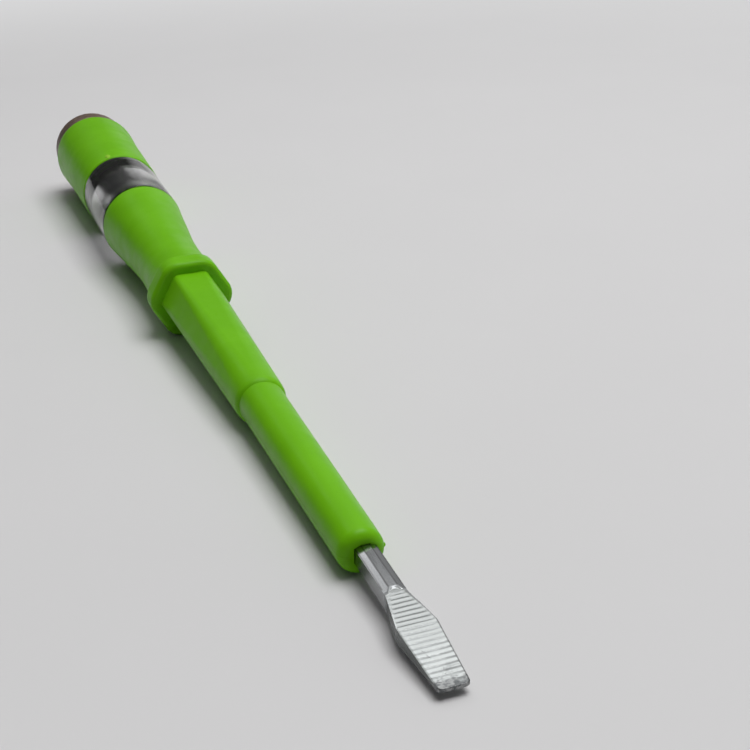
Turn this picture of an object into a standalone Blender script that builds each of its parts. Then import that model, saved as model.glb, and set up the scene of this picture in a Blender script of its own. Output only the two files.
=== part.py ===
"""Voltage tester screwdriver, built as the separate pieces that it comes apart into.

All pieces share one axis. In the tool's own frame local z runs back from the tip of the blade, so a station
is a distance from the tip, and local x points up. One empty carries that frame, and lays the tool along +X
with the blade at the front and its widest round, at the cap's rear, on z = 0.
"""

import math

import bmesh
import bpy
import numpy as np

OBJECT_NAME = "voltage_tester_screwdriver"

# Lengths along the axis, in metres, in the order in which they show from tip to rear.
BLADE_EXPOSED = 0.0227
SLEEVE_EXPOSED = 0.0376
NOSE_LENGTH = 0.0385
GRIP_LENGTH = 0.0390
WINDOW_LENGTH = 0.0192
CAP_LENGTH = 0.0314
CONTACT_THICKNESS = 0.0046

# Clearances between pieces.
SEAT_GAP = 0.0003
SHANK_FIT = 0.00015
LAMP_FIT = 0.00015

# Blade. The bar sits a little to one side of the axis, and its corners are cut more across than up.
TIP_HALF_WIDTH = 0.00157
TIP_HALF_THICKNESS = 0.00020
TIP_CORNER = 0.0004
SHOULDER_STATION = 0.0088
SHOULDER_HALF_WIDTH = 0.00205
SHOULDER_HALF_THICKNESS = 0.00088
PRESSED_LENGTH = 0.0138
PRESSED_HALF_THICKNESS = 0.00112
PRESS_RAMP = 0.0010
SHANK_HALF = 0.00117
SHANK_CUT_ACROSS = 0.0007
SHANK_CUT_UP = 0.00027
SHANK_OFFSET = 0.00022
BLADE_EDGE = 0.00008
RIDGE_PITCH = 0.00068
RIDGE_DEPTH = 0.00009
RIDGE_FREE_TIP = 0.0026
BLADE_END_CHAMFER = 0.0003

# Insulating sleeve.
SLEEVE_FRONT_RADIUS = 0.00262
SLEEVE_REAR_RADIUS = 0.00294
SLEEVE_FRONT_FILLET = 0.0012
SLEEVE_SPIGOT_RADIUS = 0.0025
SLEEVE_SPIGOT_LENGTH = 0.0100

# Handle moulding. An apothem is the distance from the axis to a flat.
NOSE_FRONT_RADIUS = 0.0034
NOSE_FRONT_FILLET = 0.0004
NOSE_REAR_APOTHEM = 0.00422
NOSE_REAR_CORNER = 0.0009
COLLAR_APOTHEM = 0.00590
COLLAR_CORNER = 0.0030
COLLAR_THICKNESS = 0.0045
COLLAR_FRONT_FILLET = 0.0005
COLLAR_REAR_FILLET = 0.0012
BARREL_RADIUS = 0.0070
BARREL_END_FILLET = 0.0006
# The neck and barrel behind the collar: places as shares of the length left, radii as shares of the barrel's.
NECK_PLACE_SHARES = (0.0, 0.08, 0.20, 0.32, 0.44, 0.55, 0.68, 0.82, 0.92, 1.0)
NECK_RADIUS_SHARES = (0.80, 0.772, 0.750, 0.745, 0.765, 0.802, 0.86, 0.915, 0.96, 1.0)

# Clear window.
WINDOW_FRONT_RADIUS = 0.0070
WINDOW_REAR_RADIUS = 0.0072
FRONT_SPIGOT_RADIUS = 0.0051
FRONT_SPIGOT_LENGTH = 0.0080
THREAD_RADIUS = 0.0056
THREAD_LENGTH = 0.0090
SPIGOT_CHAMFER = 0.0005
LAMP_BORE_RADIUS = 0.00265

# Rear cap.
CAP_FRONT_RADIUS = 0.0073
CAP_SWELL_RADIUS = 0.0077
CAP_SWELL_SHARE = 0.62
CAP_SWELL_FILLET = 0.10
CAP_REAR_RADIUS = 0.00825
CAP_FRONT_FILLET = 0.0004
CAP_REAR_FILLET = 0.0020
CAP_END_WALL = 0.0022
CAP_CHAMBER_RADIUS = 0.0034

# End contact, its retaining ring, the spring seat and the spring.
CONTACT_RADIUS = 0.0074
CONTACT_FILLET = 0.0009
CONTACT_RIM = 0.0003
STEM_RADIUS = 0.0015
STEM_BEYOND_WALL = 0.0020
RETAINER_RADIUS = 0.0030
RETAINER_THICKNESS = 0.0008
SEAT_RADIUS = 0.0024
SEAT_FLANGE = 0.0006
SEAT_BOSS_RADIUS = 0.0013
SEAT_BOSS_LENGTH = 0.0015
SPRING_WIRE = 0.0004
SPRING_MEAN_RADIUS = 0.0020
SPRING_TURNS = 12
SPRING_POINTS_PER_TURN = 8

# Lamp.
LAMP_LENGTH = 0.0190
LAMP_CAP_RADIUS = 0.00235
LAMP_CAP_LENGTH = 0.0030
LAMP_CAP_WALL = 0.00035
GLASS_RADIUS = 0.00185
GLASS_WALL = 0.0004
GLASS_END_WALL = 0.0008
GLASS_END_FILLET = 0.0006
ELECTRODE_RADIUS = 0.0003
ELECTRODE_OFFSET = 0.0006
ELECTRODE_OVERLAP = 0.0040
ELECTRODE_BEND = 0.0012

# Resistor. It fills the bore between the lamp and the bar, so its length also says where the bar ends.
RESISTOR_LENGTH = 0.0197
RESISTOR_CAP_RADIUS = 0.0023
RESISTOR_CAP_LENGTH = 0.0032
RESISTOR_CAP_WALL = 0.0003
RESISTOR_BODY_RADIUS = 0.0018
RESISTOR_END_FILLET = 0.0003
CAP_EDGE_FILLET = 0.0002

# Facets. A lofted ring has a whole number of steps to each corner of a hexagon.
LOFT_SIDES = 48
ROUND_SIDES = 40
SMALL_SIDES = 20
FILLET_STEPS = 4
HEX_SIDES = 6
NOSE_RINGS = 8
NECK_RINGS = 15
TIP_RINGS = 4
SHARP_ANGLE = math.radians(35)
MERGE_DISTANCE = 1e-6

# Stations along the axis, each worked out from the one before it.
sleeve_front = BLADE_EXPOSED
nose_front = sleeve_front + SLEEVE_EXPOSED
collar_front = nose_front + NOSE_LENGTH
barrel_end = collar_front + GRIP_LENGTH
window_front = barrel_end + SEAT_GAP
window_rear = window_front + WINDOW_LENGTH
cap_front = window_rear + SEAT_GAP
cap_rear = cap_front + CAP_LENGTH
contact_front = cap_rear + SEAT_GAP
overall_length = contact_front + CONTACT_THICKNESS
spigot_front = window_front - FRONT_SPIGOT_LENGTH
lamp_rear = window_rear
lamp_front = lamp_rear - LAMP_LENGTH
resistor_rear = lamp_front - SEAT_GAP
resistor_front = resistor_rear - RESISTOR_LENGTH
blade_end = resistor_front - SEAT_GAP
bore_front = blade_end
stem_tip = cap_rear - CAP_END_WALL - STEM_BEYOND_WALL
seat_rear = stem_tip - SEAT_GAP
seat_front = seat_rear - SEAT_FLANGE
spring_front = lamp_rear + SEAT_GAP
spring_rear = seat_front - SEAT_GAP


def clear_scene():
    for obj in list(bpy.data.objects):
        bpy.data.objects.remove(obj, do_unlink=True)


def new_collection(name):
    collection = bpy.data.collections.new(name)
    bpy.context.scene.collection.children.link(collection)
    return collection


def new_material(name, colour, roughness, metallic=0.0, transmission=0.0):
    material = bpy.data.materials.new(name)
    material.use_nodes = True
    shader = material.node_tree.nodes["Principled BSDF"]
    shader.inputs["Base Color"].default_value = (*colour, 1.0)
    shader.inputs["Roughness"].default_value = roughness
    shader.inputs["Metallic"].default_value = metallic
    shader.inputs["Transmission Weight"].default_value = transmission
    material.diffuse_color = (*colour, 1.0)
    return material


def new_frame(name, parent=None):
    """An empty on the tool's axis. The first one also lays the axis down along +X."""
    frame = bpy.data.objects.new(name, None)
    pieces.objects.link(frame)
    frame.parent = parent
    return frame


def add_piece(name, mesh, material, parent, station=0.0):
    """Puts a mesh into the scene as one named piece, at its station on the axis."""
    mesh.materials.append(material)
    piece = bpy.data.objects.new(name, mesh)
    pieces.objects.link(piece)
    piece.parent = parent
    piece.location = (0.0, 0.0, station)
    return piece


def smooth(mesh):
    mesh.shade_smooth()
    mesh.set_sharp_from_angle(angle=SHARP_ANGLE)


def filleted(corners):
    """Rounds the corners of a profile, given as (radius, height, fillet), with arcs tangent to both sides."""
    path = []
    count = len(corners)
    for index, (radius, height, fillet) in enumerate(corners):
        here = np.array((radius, height))
        if not fillet:
            path.append(here)
            continue
        before = np.array(corners[index - 1][:2]) - here
        after = np.array(corners[(index + 1) % count][:2]) - here
        unit_before = before / np.linalg.norm(before)
        unit_after = after / np.linalg.norm(after)
        half_angle = math.acos(np.clip(unit_before @ unit_after, -1.0, 1.0)) / 2
        room = min(np.linalg.norm(before), np.linalg.norm(after)) / 2
        reach = min(fillet / math.tan(half_angle), room)
        arc_radius = reach * math.tan(half_angle)
        bisector = unit_before + unit_after
        centre = here + bisector / np.linalg.norm(bisector) * math.hypot(reach, arc_radius)
        start = here + unit_before * reach - centre
        end = here + unit_after * reach - centre
        turn = math.acos(np.clip(start @ end / arc_radius**2, -1.0, 1.0))
        for step in range(FILLET_STEPS + 1):
            share = step / FILLET_STEPS
            weights = (math.sin((1 - share) * turn), math.sin(share * turn))
            path.append(centre + (start * weights[0] + end * weights[1]) / math.sin(turn))
    return path


def add_turned(name, corners, material, parent, station=0.0, sides=ROUND_SIDES, hollow=True):
    """A turned piece: its profile runs down the outer side, and up the inner side where it is hollow."""
    path = filleted(corners)
    count = len(path)
    edges = [(index, index + 1) for index in range(count - 1)]
    if hollow:
        edges.append((count - 1, 0))
    mesh = bpy.data.meshes.new(name)
    mesh.from_pydata([(radius, 0.0, height) for radius, height in path], edges, [])
    piece = add_piece(name, mesh, material, parent, station)
    screw = piece.modifiers.new("turn", "SCREW")
    screw.axis = "Z"
    screw.steps = sides
    screw.render_steps = sides
    screw.use_merge_vertices = True
    screw.merge_threshold = MERGE_DISTANCE
    screw.use_smooth_shade = True
    return piece


def add_lofted(name, rings, material, parent, hollow):
    """Skins a row of rings. A hollow piece's last ring joins its first. A solid one has both ends filled."""
    shape = bmesh.new()
    loops = [[shape.verts.new(point) for point in ring] for ring in rings]
    pairs = list(zip(loops, loops[1:]))
    if hollow:
        pairs.append((loops[-1], loops[0]))
    else:
        shape.faces.new(loops[0])
        shape.faces.new(loops[-1])
    for low, high in pairs:
        for side in range(len(low)):
            after = (side + 1) % len(low)
            shape.faces.new((low[side], low[after], high[after], high[side]))
    bmesh.ops.recalc_face_normals(shape, faces=shape.faces)
    mesh = bpy.data.meshes.new(name)
    shape.to_mesh(mesh)
    shape.free()
    smooth(mesh)
    return add_piece(name, mesh, material, parent)


def polygon_ring(station, apothem, corner, sides):
    """A regular polygon with round corners, flat on top, as points at equal angles about the axis.

    With the corner radius equal to the apothem it is a circle.
    """
    half_sector = math.pi / sides
    corner_centre = (apothem - corner) / math.cos(half_sector)
    ring = []
    for index in range(LOFT_SIDES):
        angle = 2 * math.pi * index / LOFT_SIDES
        from_flat = (angle + half_sector) % (2 * half_sector) - half_sector
        from_corner = half_sector - abs(from_flat)
        on_flat = apothem / math.cos(from_flat)
        tangent_from_corner = half_sector - math.atan((apothem - corner) * math.tan(half_sector) / apothem)
        if from_corner < tangent_from_corner:
            reach = corner_centre * math.cos(from_corner)
            drop = corner_centre * math.sin(from_corner)
            radius = reach + math.sqrt(max(corner**2 - drop**2, 0.0))
        else:
            radius = on_flat
        ring.append((radius * math.cos(angle), radius * math.sin(angle), station))
    return ring


def round_ring(station, radius):
    return polygon_ring(station, radius, radius, HEX_SIDES)


def fillet_run(fillet, rising):
    """(inset, advance) pairs of a quarter round, from its first tangent to its last."""
    angles = [math.pi / 2 * step / FILLET_STEPS for step in range(FILLET_STEPS + 1)]
    run = [(fillet * (1 - math.sin(angle)), fillet * (1 - math.cos(angle))) for angle in angles]
    return run if rising else [(inset, fillet - advance) for inset, advance in reversed(run)]


def through_shares(places, values, share):
    """A smooth curve through chosen points, read at a share of its length."""
    index = min(max(np.searchsorted(places, share) - 1, 0), len(places) - 2)
    span = places[index + 1] - places[index]
    slopes = np.gradient(values, places)
    part = (share - places[index]) / span
    return (
        values[index] * (1 + 2 * part) * (1 - part) ** 2
        + values[index + 1] * part**2 * (3 - 2 * part)
        + span * slopes[index] * part * (1 - part) ** 2
        - span * slopes[index + 1] * part**2 * (1 - part)
    )


def bar_section(station, half_width, half_thickness, cut_across, cut_up):
    """A bar's section with cut corners: up is its thickness, across is its width."""
    flat = half_width - cut_across
    side = half_thickness - cut_up
    quarter = [(half_thickness, flat), (side, half_width), (-side, half_width), (-half_thickness, flat)]
    outline = quarter + [(-up, -across) for up, across in quarter]
    return [(up, across + SHANK_OFFSET, station) for up, across in outline]


def pressed_section(station, ridge=0.0):
    half_thickness = blade_half_thickness(station) - ridge
    return bar_section(station, blade_half_width(station), half_thickness, BLADE_EDGE, BLADE_EDGE)


def between(first, last, share):
    return first + (last - first) * share


def blade_half_width(station):
    """Half the width of the pressed end: round tip corners, a slight flare, then a waist into the shank."""
    if station < SHOULDER_STATION:
        width = between(TIP_HALF_WIDTH, SHOULDER_HALF_WIDTH, station / SHOULDER_STATION)
    else:
        share = (station - SHOULDER_STATION) / (PRESSED_LENGTH - SHOULDER_STATION)
        width = between(SHOULDER_HALF_WIDTH, SHANK_HALF, share)
    if station < TIP_CORNER:
        width -= TIP_CORNER - math.sqrt(TIP_CORNER**2 - (TIP_CORNER - station) ** 2)
    return width


def blade_half_thickness(station):
    """A wedge that is steeper in front of the shoulder than behind it."""
    if station < SHOULDER_STATION:
        return between(TIP_HALF_THICKNESS, SHOULDER_HALF_THICKNESS, station / SHOULDER_STATION)
    share = (station - SHOULDER_STATION) / (PRESSED_LENGTH - SHOULDER_STATION)
    return between(SHOULDER_HALF_THICKNESS, PRESSED_HALF_THICKNESS, share)


def add_blade(material, parent):
    """The pressed end wedges down to the tip and is ridged across. Behind it runs the bar."""
    rings = []
    for step in range(TIP_RINGS):
        station = TIP_CORNER * (1 - math.cos(math.pi / 2 * step / (TIP_RINGS - 1)))
        rings.append(pressed_section(station))
    ridge_count = int((PRESSED_LENGTH - RIDGE_FREE_TIP) / RIDGE_PITCH)
    for index in range(2 * ridge_count + 1):
        station = RIDGE_FREE_TIP + index * RIDGE_PITCH / 2
        rings.append(pressed_section(station, RIDGE_DEPTH * (index % 2)))
    bar = (SHANK_HALF, SHANK_HALF, SHANK_CUT_ACROSS, SHANK_CUT_UP)
    end = [size - BLADE_END_CHAMFER for size in bar[:2]] + [size / 2 for size in bar[2:]]
    rings.append(bar_section(PRESSED_LENGTH + PRESS_RAMP, *bar))
    rings.append(bar_section(blade_end - BLADE_END_CHAMFER, *bar))
    rings.append(bar_section(blade_end, *end))
    return add_lofted("blade", rings, material, parent, hollow=False)


def passage_ring(station):
    """The bar's own outline and its clearance, as points at equal angles about the bar's middle."""
    half = SHANK_HALF + SHANK_FIT
    cut_reach = SHANK_HALF * SHANK_CUT_ACROSS + (SHANK_HALF - SHANK_CUT_ACROSS) * SHANK_CUT_UP
    cut_reach += SHANK_FIT * math.hypot(SHANK_CUT_ACROSS, SHANK_CUT_UP)
    ring = []
    for index in range(LOFT_SIDES):
        angle = 2 * math.pi * index / LOFT_SIDES
        up = math.cos(angle)
        across = math.sin(angle)
        cut = (abs(up) * SHANK_CUT_ACROSS + abs(across) * SHANK_CUT_UP) / cut_reach
        radius = 1 / max(abs(up) / half, abs(across) / half, cut)
        ring.append((radius * up, radius * across + SHANK_OFFSET, station))
    return ring


def add_sleeve(material, parent):
    shoulder = nose_front - SEAT_GAP
    end = nose_front + SLEEVE_SPIGOT_LENGTH
    rings = [
        round_ring(sleeve_front + advance, SLEEVE_FRONT_RADIUS - inset)
        for inset, advance in fillet_run(SLEEVE_FRONT_FILLET, rising=True)
    ]
    rings += [
        round_ring(shoulder, SLEEVE_REAR_RADIUS),
        round_ring(shoulder, SLEEVE_SPIGOT_RADIUS),
        round_ring(end, SLEEVE_SPIGOT_RADIUS),
        passage_ring(end),
        passage_ring(sleeve_front),
    ]
    return add_lofted("insulating_sleeve", rings, material, parent, hollow=True)


def nose_rings():
    """Round at the step and hexagonal at the collar: the corner radius falls as the flats move out."""
    rings = [
        round_ring(nose_front + advance, NOSE_FRONT_RADIUS - inset)
        for inset, advance in fillet_run(NOSE_FRONT_FILLET, rising=True)
    ]
    straight = NOSE_LENGTH - NOSE_FRONT_FILLET
    for step in range(1, NOSE_RINGS + 1):
        share = step / NOSE_RINGS
        apothem = NOSE_FRONT_RADIUS + (NOSE_REAR_APOTHEM - NOSE_FRONT_RADIUS) * share
        corner = NOSE_FRONT_RADIUS + (NOSE_REAR_CORNER - NOSE_FRONT_RADIUS) * share
        station = nose_front + NOSE_FRONT_FILLET + straight * share
        rings.append(polygon_ring(station, apothem, corner, HEX_SIDES))
    return rings


def collar_rings():
    rings = []
    rear = collar_front + COLLAR_THICKNESS
    for inset, advance in fillet_run(COLLAR_FRONT_FILLET, rising=True):
        rings.append(
            polygon_ring(collar_front + advance, COLLAR_APOTHEM - inset, COLLAR_CORNER - inset, HEX_SIDES)
        )
    for inset, advance in fillet_run(COLLAR_REAR_FILLET, rising=False):
        station = rear - COLLAR_REAR_FILLET + advance
        rings.append(polygon_ring(station, COLLAR_APOTHEM - inset, COLLAR_CORNER - inset, HEX_SIDES))
    return rings


def barrel_rings():
    """The waisted neck and the swelling barrel, up to the round of the barrel's rear edge."""
    start = collar_front + COLLAR_THICKNESS
    length = barrel_end - BARREL_END_FILLET - start
    rings = []
    for step in range(NECK_RINGS + 1):
        share = step / NECK_RINGS
        radius = BARREL_RADIUS * through_shares(NECK_PLACE_SHARES, NECK_RADIUS_SHARES, share)
        rings.append(round_ring(start + length * share, radius))
    for inset, advance in fillet_run(BARREL_END_FILLET, rising=False)[1:]:
        rings.append(round_ring(barrel_end - BARREL_END_FILLET + advance, BARREL_RADIUS - inset))
    return rings


def add_handle(material, parent):
    """One skin: along nose, collar and barrel, then back through socket, bore, passage and sleeve seat."""
    counterbore_radius = FRONT_SPIGOT_RADIUS + SEAT_GAP
    counterbore_front = spigot_front - SEAT_GAP
    sleeve_seat_radius = SLEEVE_SPIGOT_RADIUS + SEAT_GAP
    sleeve_seat_rear = nose_front + SLEEVE_SPIGOT_LENGTH + SEAT_GAP
    inside = [
        round_ring(barrel_end, counterbore_radius),
        round_ring(counterbore_front, counterbore_radius),
        round_ring(counterbore_front, LAMP_BORE_RADIUS),
        round_ring(bore_front, LAMP_BORE_RADIUS),
        passage_ring(bore_front),
        passage_ring(sleeve_seat_rear),
        round_ring(sleeve_seat_rear, sleeve_seat_radius),
        round_ring(nose_front, sleeve_seat_radius),
    ]
    rings = nose_rings() + collar_rings() + barrel_rings() + inside
    return add_lofted("handle_body", rings, material, parent, hollow=True)


def add_window(material, parent):
    """Clear tube: threaded spigot, visible band and front spigot round one bore."""
    rear = WINDOW_LENGTH + THREAD_LENGTH
    corners = [
        (LAMP_BORE_RADIUS, rear, 0.0),
        (THREAD_RADIUS, rear, SPIGOT_CHAMFER),
        (THREAD_RADIUS, WINDOW_LENGTH, 0.0),
        (WINDOW_REAR_RADIUS, WINDOW_LENGTH, 0.0),
        (WINDOW_FRONT_RADIUS, 0.0, 0.0),
        (FRONT_SPIGOT_RADIUS, 0.0, 0.0),
        (FRONT_SPIGOT_RADIUS, -FRONT_SPIGOT_LENGTH, SPIGOT_CHAMFER),
        (LAMP_BORE_RADIUS, -FRONT_SPIGOT_LENGTH, 0.0),
    ]
    return add_turned("clear_window", corners, material, parent, window_front)


def cap_profile():
    socket_radius = THREAD_RADIUS + SEAT_GAP
    socket_end = THREAD_LENGTH + SEAT_GAP
    chamber_end = CAP_LENGTH - CAP_END_WALL
    stem_hole = STEM_RADIUS + SEAT_GAP
    return [
        (stem_hole, CAP_LENGTH, 0.0),
        (CAP_REAR_RADIUS, CAP_LENGTH, CAP_REAR_FILLET),
        (CAP_SWELL_RADIUS, CAP_SWELL_SHARE * CAP_LENGTH, CAP_SWELL_FILLET),
        (CAP_FRONT_RADIUS, 0.0, CAP_FRONT_FILLET),
        (socket_radius, 0.0, 0.0),
        (socket_radius, socket_end, 0.0),
        (CAP_CHAMBER_RADIUS, socket_end, 0.0),
        (CAP_CHAMBER_RADIUS, chamber_end, 0.0),
        (stem_hole, chamber_end, 0.0),
    ]


def add_cap(material, parent):
    """Screw cap: a socket over the thread, a chamber for the spring, and an end wall bored for the stem."""
    return add_turned("rear_cap", cap_profile(), material, parent, cap_front)


def add_contact(material, parent):
    """Touch plate with a flat middle and a rounded rim, turned in one piece with its stem."""
    stem = contact_front - stem_tip
    corners = [
        (0.0, CONTACT_THICKNESS, 0.0),
        (CONTACT_RADIUS, CONTACT_THICKNESS, CONTACT_FILLET),
        (CONTACT_RADIUS, 0.0, CONTACT_RIM),
        (STEM_RADIUS, 0.0, 0.0),
        (STEM_RADIUS, -stem, 0.0),
        (0.0, -stem, 0.0),
    ]
    return add_turned("end_contact", corners, material, parent, contact_front, hollow=False)


def add_retainer(material, parent):
    """Push-on ring on the stem, inside the cap's end wall."""
    inner = STEM_RADIUS + SHANK_FIT
    corners = [
        (inner, RETAINER_THICKNESS, 0.0),
        (RETAINER_RADIUS, RETAINER_THICKNESS, CAP_EDGE_FILLET),
        (RETAINER_RADIUS, 0.0, CAP_EDGE_FILLET),
        (inner, 0.0, 0.0),
    ]
    station = cap_rear - CAP_END_WALL - SEAT_GAP - RETAINER_THICKNESS
    return add_turned("contact_retainer", corners, material, parent, station, SMALL_SIDES)


def add_spring_seat(material, parent):
    """Disc with a boss that keeps the spring centred."""
    corners = [
        (0.0, SEAT_FLANGE, 0.0),
        (SEAT_RADIUS, SEAT_FLANGE, CAP_EDGE_FILLET),
        (SEAT_RADIUS, 0.0, CAP_EDGE_FILLET),
        (SEAT_BOSS_RADIUS, 0.0, 0.0),
        (SEAT_BOSS_RADIUS, -SEAT_BOSS_LENGTH, CAP_EDGE_FILLET),
        (0.0, -SEAT_BOSS_LENGTH, 0.0),
    ]
    return add_turned("spring_seat", corners, material, parent, seat_front, SMALL_SIDES, hollow=False)


def spring_points():
    """One unbroken wire: straight on both seats for one wire's width, and wound evenly between them."""
    first = spring_front + SPRING_WIRE
    last = spring_rear - SPRING_WIRE
    count = SPRING_TURNS * SPRING_POINTS_PER_TURN
    points = [(SPRING_MEAN_RADIUS, 0.0, spring_front)]
    for index in range(count + 1):
        angle = 2 * math.pi * index / SPRING_POINTS_PER_TURN
        station = first + (last - first) * index / count
        points.append((SPRING_MEAN_RADIUS * math.cos(angle), SPRING_MEAN_RADIUS * math.sin(angle), station))
    points.append((points[-1][0], points[-1][1], spring_rear))
    return np.array(points)


def least_gap_to_itself(points, wire):
    """The narrowest space between stretches of the wire that are at least half a turn apart."""
    half_turn = SPRING_POINTS_PER_TURN // 2
    gaps = [
        np.linalg.norm(points[index + half_turn :] - point, axis=1).min()
        for index, point in enumerate(points[:-half_turn])
    ]
    return min(gaps) - wire


def add_tube(name, points, radius, bevel_resolution, material, parent):
    """A wire: a poly curve with a round bevel and filled ends."""
    curve = bpy.data.curves.new(name, "CURVE")
    curve.dimensions = "3D"
    curve.bevel_depth = radius
    curve.bevel_resolution = bevel_resolution
    curve.use_fill_caps = True
    spline = curve.splines.new("POLY")
    spline.points.add(len(points) - 1)
    for target, point in zip(spline.points, points):
        target.co = (*point, 1.0)
    return add_piece(name, curve, material, parent)


def add_spring(material, parent):
    points = spring_points()
    gap = least_gap_to_itself(points, SPRING_WIRE)
    print(f"contact_spring: least gap to itself {gap * 1000:.2f} mm")
    return add_tube("contact_spring", points, SPRING_WIRE / 2, 1, material, parent)


def add_end_ferrule(name, radius, length, wall, inner_radius, station, faces_rear, material, parent):
    """A pressed metal cup over one end of the lamp or the resistor."""
    corners = [
        (0.0, length, 0.0),
        (radius, length, CAP_EDGE_FILLET),
        (radius, 0.0, 0.0),
        (inner_radius, 0.0, 0.0),
        (inner_radius, length - wall, 0.0),
        (0.0, length - wall, 0.0),
    ]
    if not faces_rear:
        corners = [(reach, length - height, fillet) for reach, height, fillet in reversed(corners)]
    return add_turned(name, corners, material, parent, station, SMALL_SIDES, hollow=False)


def add_lamp(glass, metal, wire, parent):
    """Glass envelope with a metal cup at each end and an electrode from each side."""
    cup_bore = GLASS_RADIUS + LAMP_FIT
    glass_front = lamp_front + LAMP_CAP_WALL + LAMP_FIT
    glass_length = LAMP_LENGTH - 2 * (LAMP_CAP_WALL + LAMP_FIT)
    inner_radius = GLASS_RADIUS - GLASS_WALL
    wire_hole = ELECTRODE_RADIUS + LAMP_FIT
    corners = [
        (wire_hole, glass_length, 0.0),
        (GLASS_RADIUS, glass_length, GLASS_END_FILLET),
        (GLASS_RADIUS, 0.0, GLASS_END_FILLET),
        (wire_hole, 0.0, 0.0),
        (wire_hole, GLASS_END_WALL, 0.0),
        (inner_radius, GLASS_END_WALL, GLASS_END_FILLET),
        (inner_radius, glass_length - GLASS_END_WALL, GLASS_END_FILLET),
        (wire_hole, glass_length - GLASS_END_WALL, 0.0),
    ]
    add_turned("neon_glass", corners, glass, parent, glass_front, SMALL_SIDES)
    cup = (LAMP_CAP_RADIUS, LAMP_CAP_LENGTH, LAMP_CAP_WALL, cup_bore)
    add_end_ferrule("neon_front_cap", *cup, lamp_front, False, metal, parent)
    add_end_ferrule("neon_rear_cap", *cup, lamp_rear - LAMP_CAP_LENGTH, True, metal, parent)
    middle = (lamp_front + lamp_rear) / 2
    for name, start, side, way in (
        ("neon_front_electrode", glass_front, 1, 1),
        ("neon_rear_electrode", glass_front + glass_length, -1, -1),
    ):
        inside = start + way * (GLASS_END_WALL + ELECTRODE_BEND)
        points = [
            (0.0, 0.0, start),
            (0.0, 0.0, inside),
            (0.0, side * ELECTRODE_OFFSET, inside + way * ELECTRODE_BEND),
            (0.0, side * ELECTRODE_OFFSET, middle + way * ELECTRODE_OVERLAP / 2),
        ]
        add_tube(name, points, ELECTRODE_RADIUS, 2, wire, parent)


def add_resistor(body, metal, parent):
    """Coated rod with a metal cup pressed on each end."""
    rod_front = resistor_front + RESISTOR_CAP_WALL + LAMP_FIT
    rod_length = RESISTOR_LENGTH - 2 * (RESISTOR_CAP_WALL + LAMP_FIT)
    corners = [
        (0.0, rod_length, 0.0),
        (RESISTOR_BODY_RADIUS, rod_length, RESISTOR_END_FILLET),
        (RESISTOR_BODY_RADIUS, 0.0, RESISTOR_END_FILLET),
        (0.0, 0.0, 0.0),
    ]
    add_turned("resistor_body", corners, body, parent, rod_front, SMALL_SIDES, hollow=False)
    cup_bore = RESISTOR_BODY_RADIUS + LAMP_FIT
    cup = (RESISTOR_CAP_RADIUS, RESISTOR_CAP_LENGTH, RESISTOR_CAP_WALL, cup_bore)
    add_end_ferrule("resistor_front_cap", *cup, resistor_front, False, metal, parent)
    add_end_ferrule("resistor_rear_cap", *cup, resistor_rear - RESISTOR_CAP_LENGTH, True, metal, parent)


clear_scene()
pieces = new_collection(OBJECT_NAME)

green_plastic = new_material("green_plastic", (0.16, 0.46, 0.02), 0.32)
clear_plastic = new_material("clear_plastic", (0.92, 0.94, 0.94), 0.06, transmission=1.0)
plated_steel = new_material("plated_steel", (0.62, 0.64, 0.64), 0.30, metallic=1.0)
brown_metal = new_material("brown_metal", (0.23, 0.13, 0.09), 0.45, metallic=1.0)
spring_steel = new_material("spring_steel", (0.50, 0.50, 0.50), 0.35, metallic=1.0)
lamp_glass = new_material("lamp_glass", (0.90, 0.92, 0.92), 0.03, transmission=1.0)
nickel_plate = new_material("nickel_plate", (0.60, 0.58, 0.54), 0.25, metallic=1.0)
resistor_coat = new_material("resistor_coat", (0.55, 0.40, 0.26), 0.50)

# The tool's frame: local z runs to the rear along world -X, and local x points up.
# The cap's widest round is at z = 0.
tool_axis = new_frame("tool_axis")
axis_height = max(radius for radius, height in filleted(cap_profile()))
tool_axis.location = (overall_length / 2, 0.0, axis_height)
tool_axis.rotation_euler = (0.0, math.radians(-90), 0.0)
cap_travel = new_frame("cap_travel", tool_axis)
cap_turn = new_frame("cap_turn", cap_travel)

add_blade(plated_steel, tool_axis)
add_sleeve(green_plastic, tool_axis)
add_handle(green_plastic, tool_axis)
add_window(clear_plastic, tool_axis)
add_resistor(resistor_coat, nickel_plate, tool_axis)
add_lamp(lamp_glass, nickel_plate, spring_steel, tool_axis)
add_spring(spring_steel, tool_axis)
add_spring_seat(nickel_plate, cap_travel)
add_cap(green_plastic, cap_turn)
add_contact(brown_metal, cap_turn)
add_retainer(spring_steel, cap_turn)
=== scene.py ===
# %% [markdown]
# # A voltage tester screwdriver
#
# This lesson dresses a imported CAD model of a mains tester: a ridged blade on a plated bar, a green insulating
# sleeve, a green handle with a hexagonal collar, a clear window with a lamp behind it, and a screw cap with a
# metal touch plate. The frame is loaded first, because every piece that follows is built where the frame says.

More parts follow.
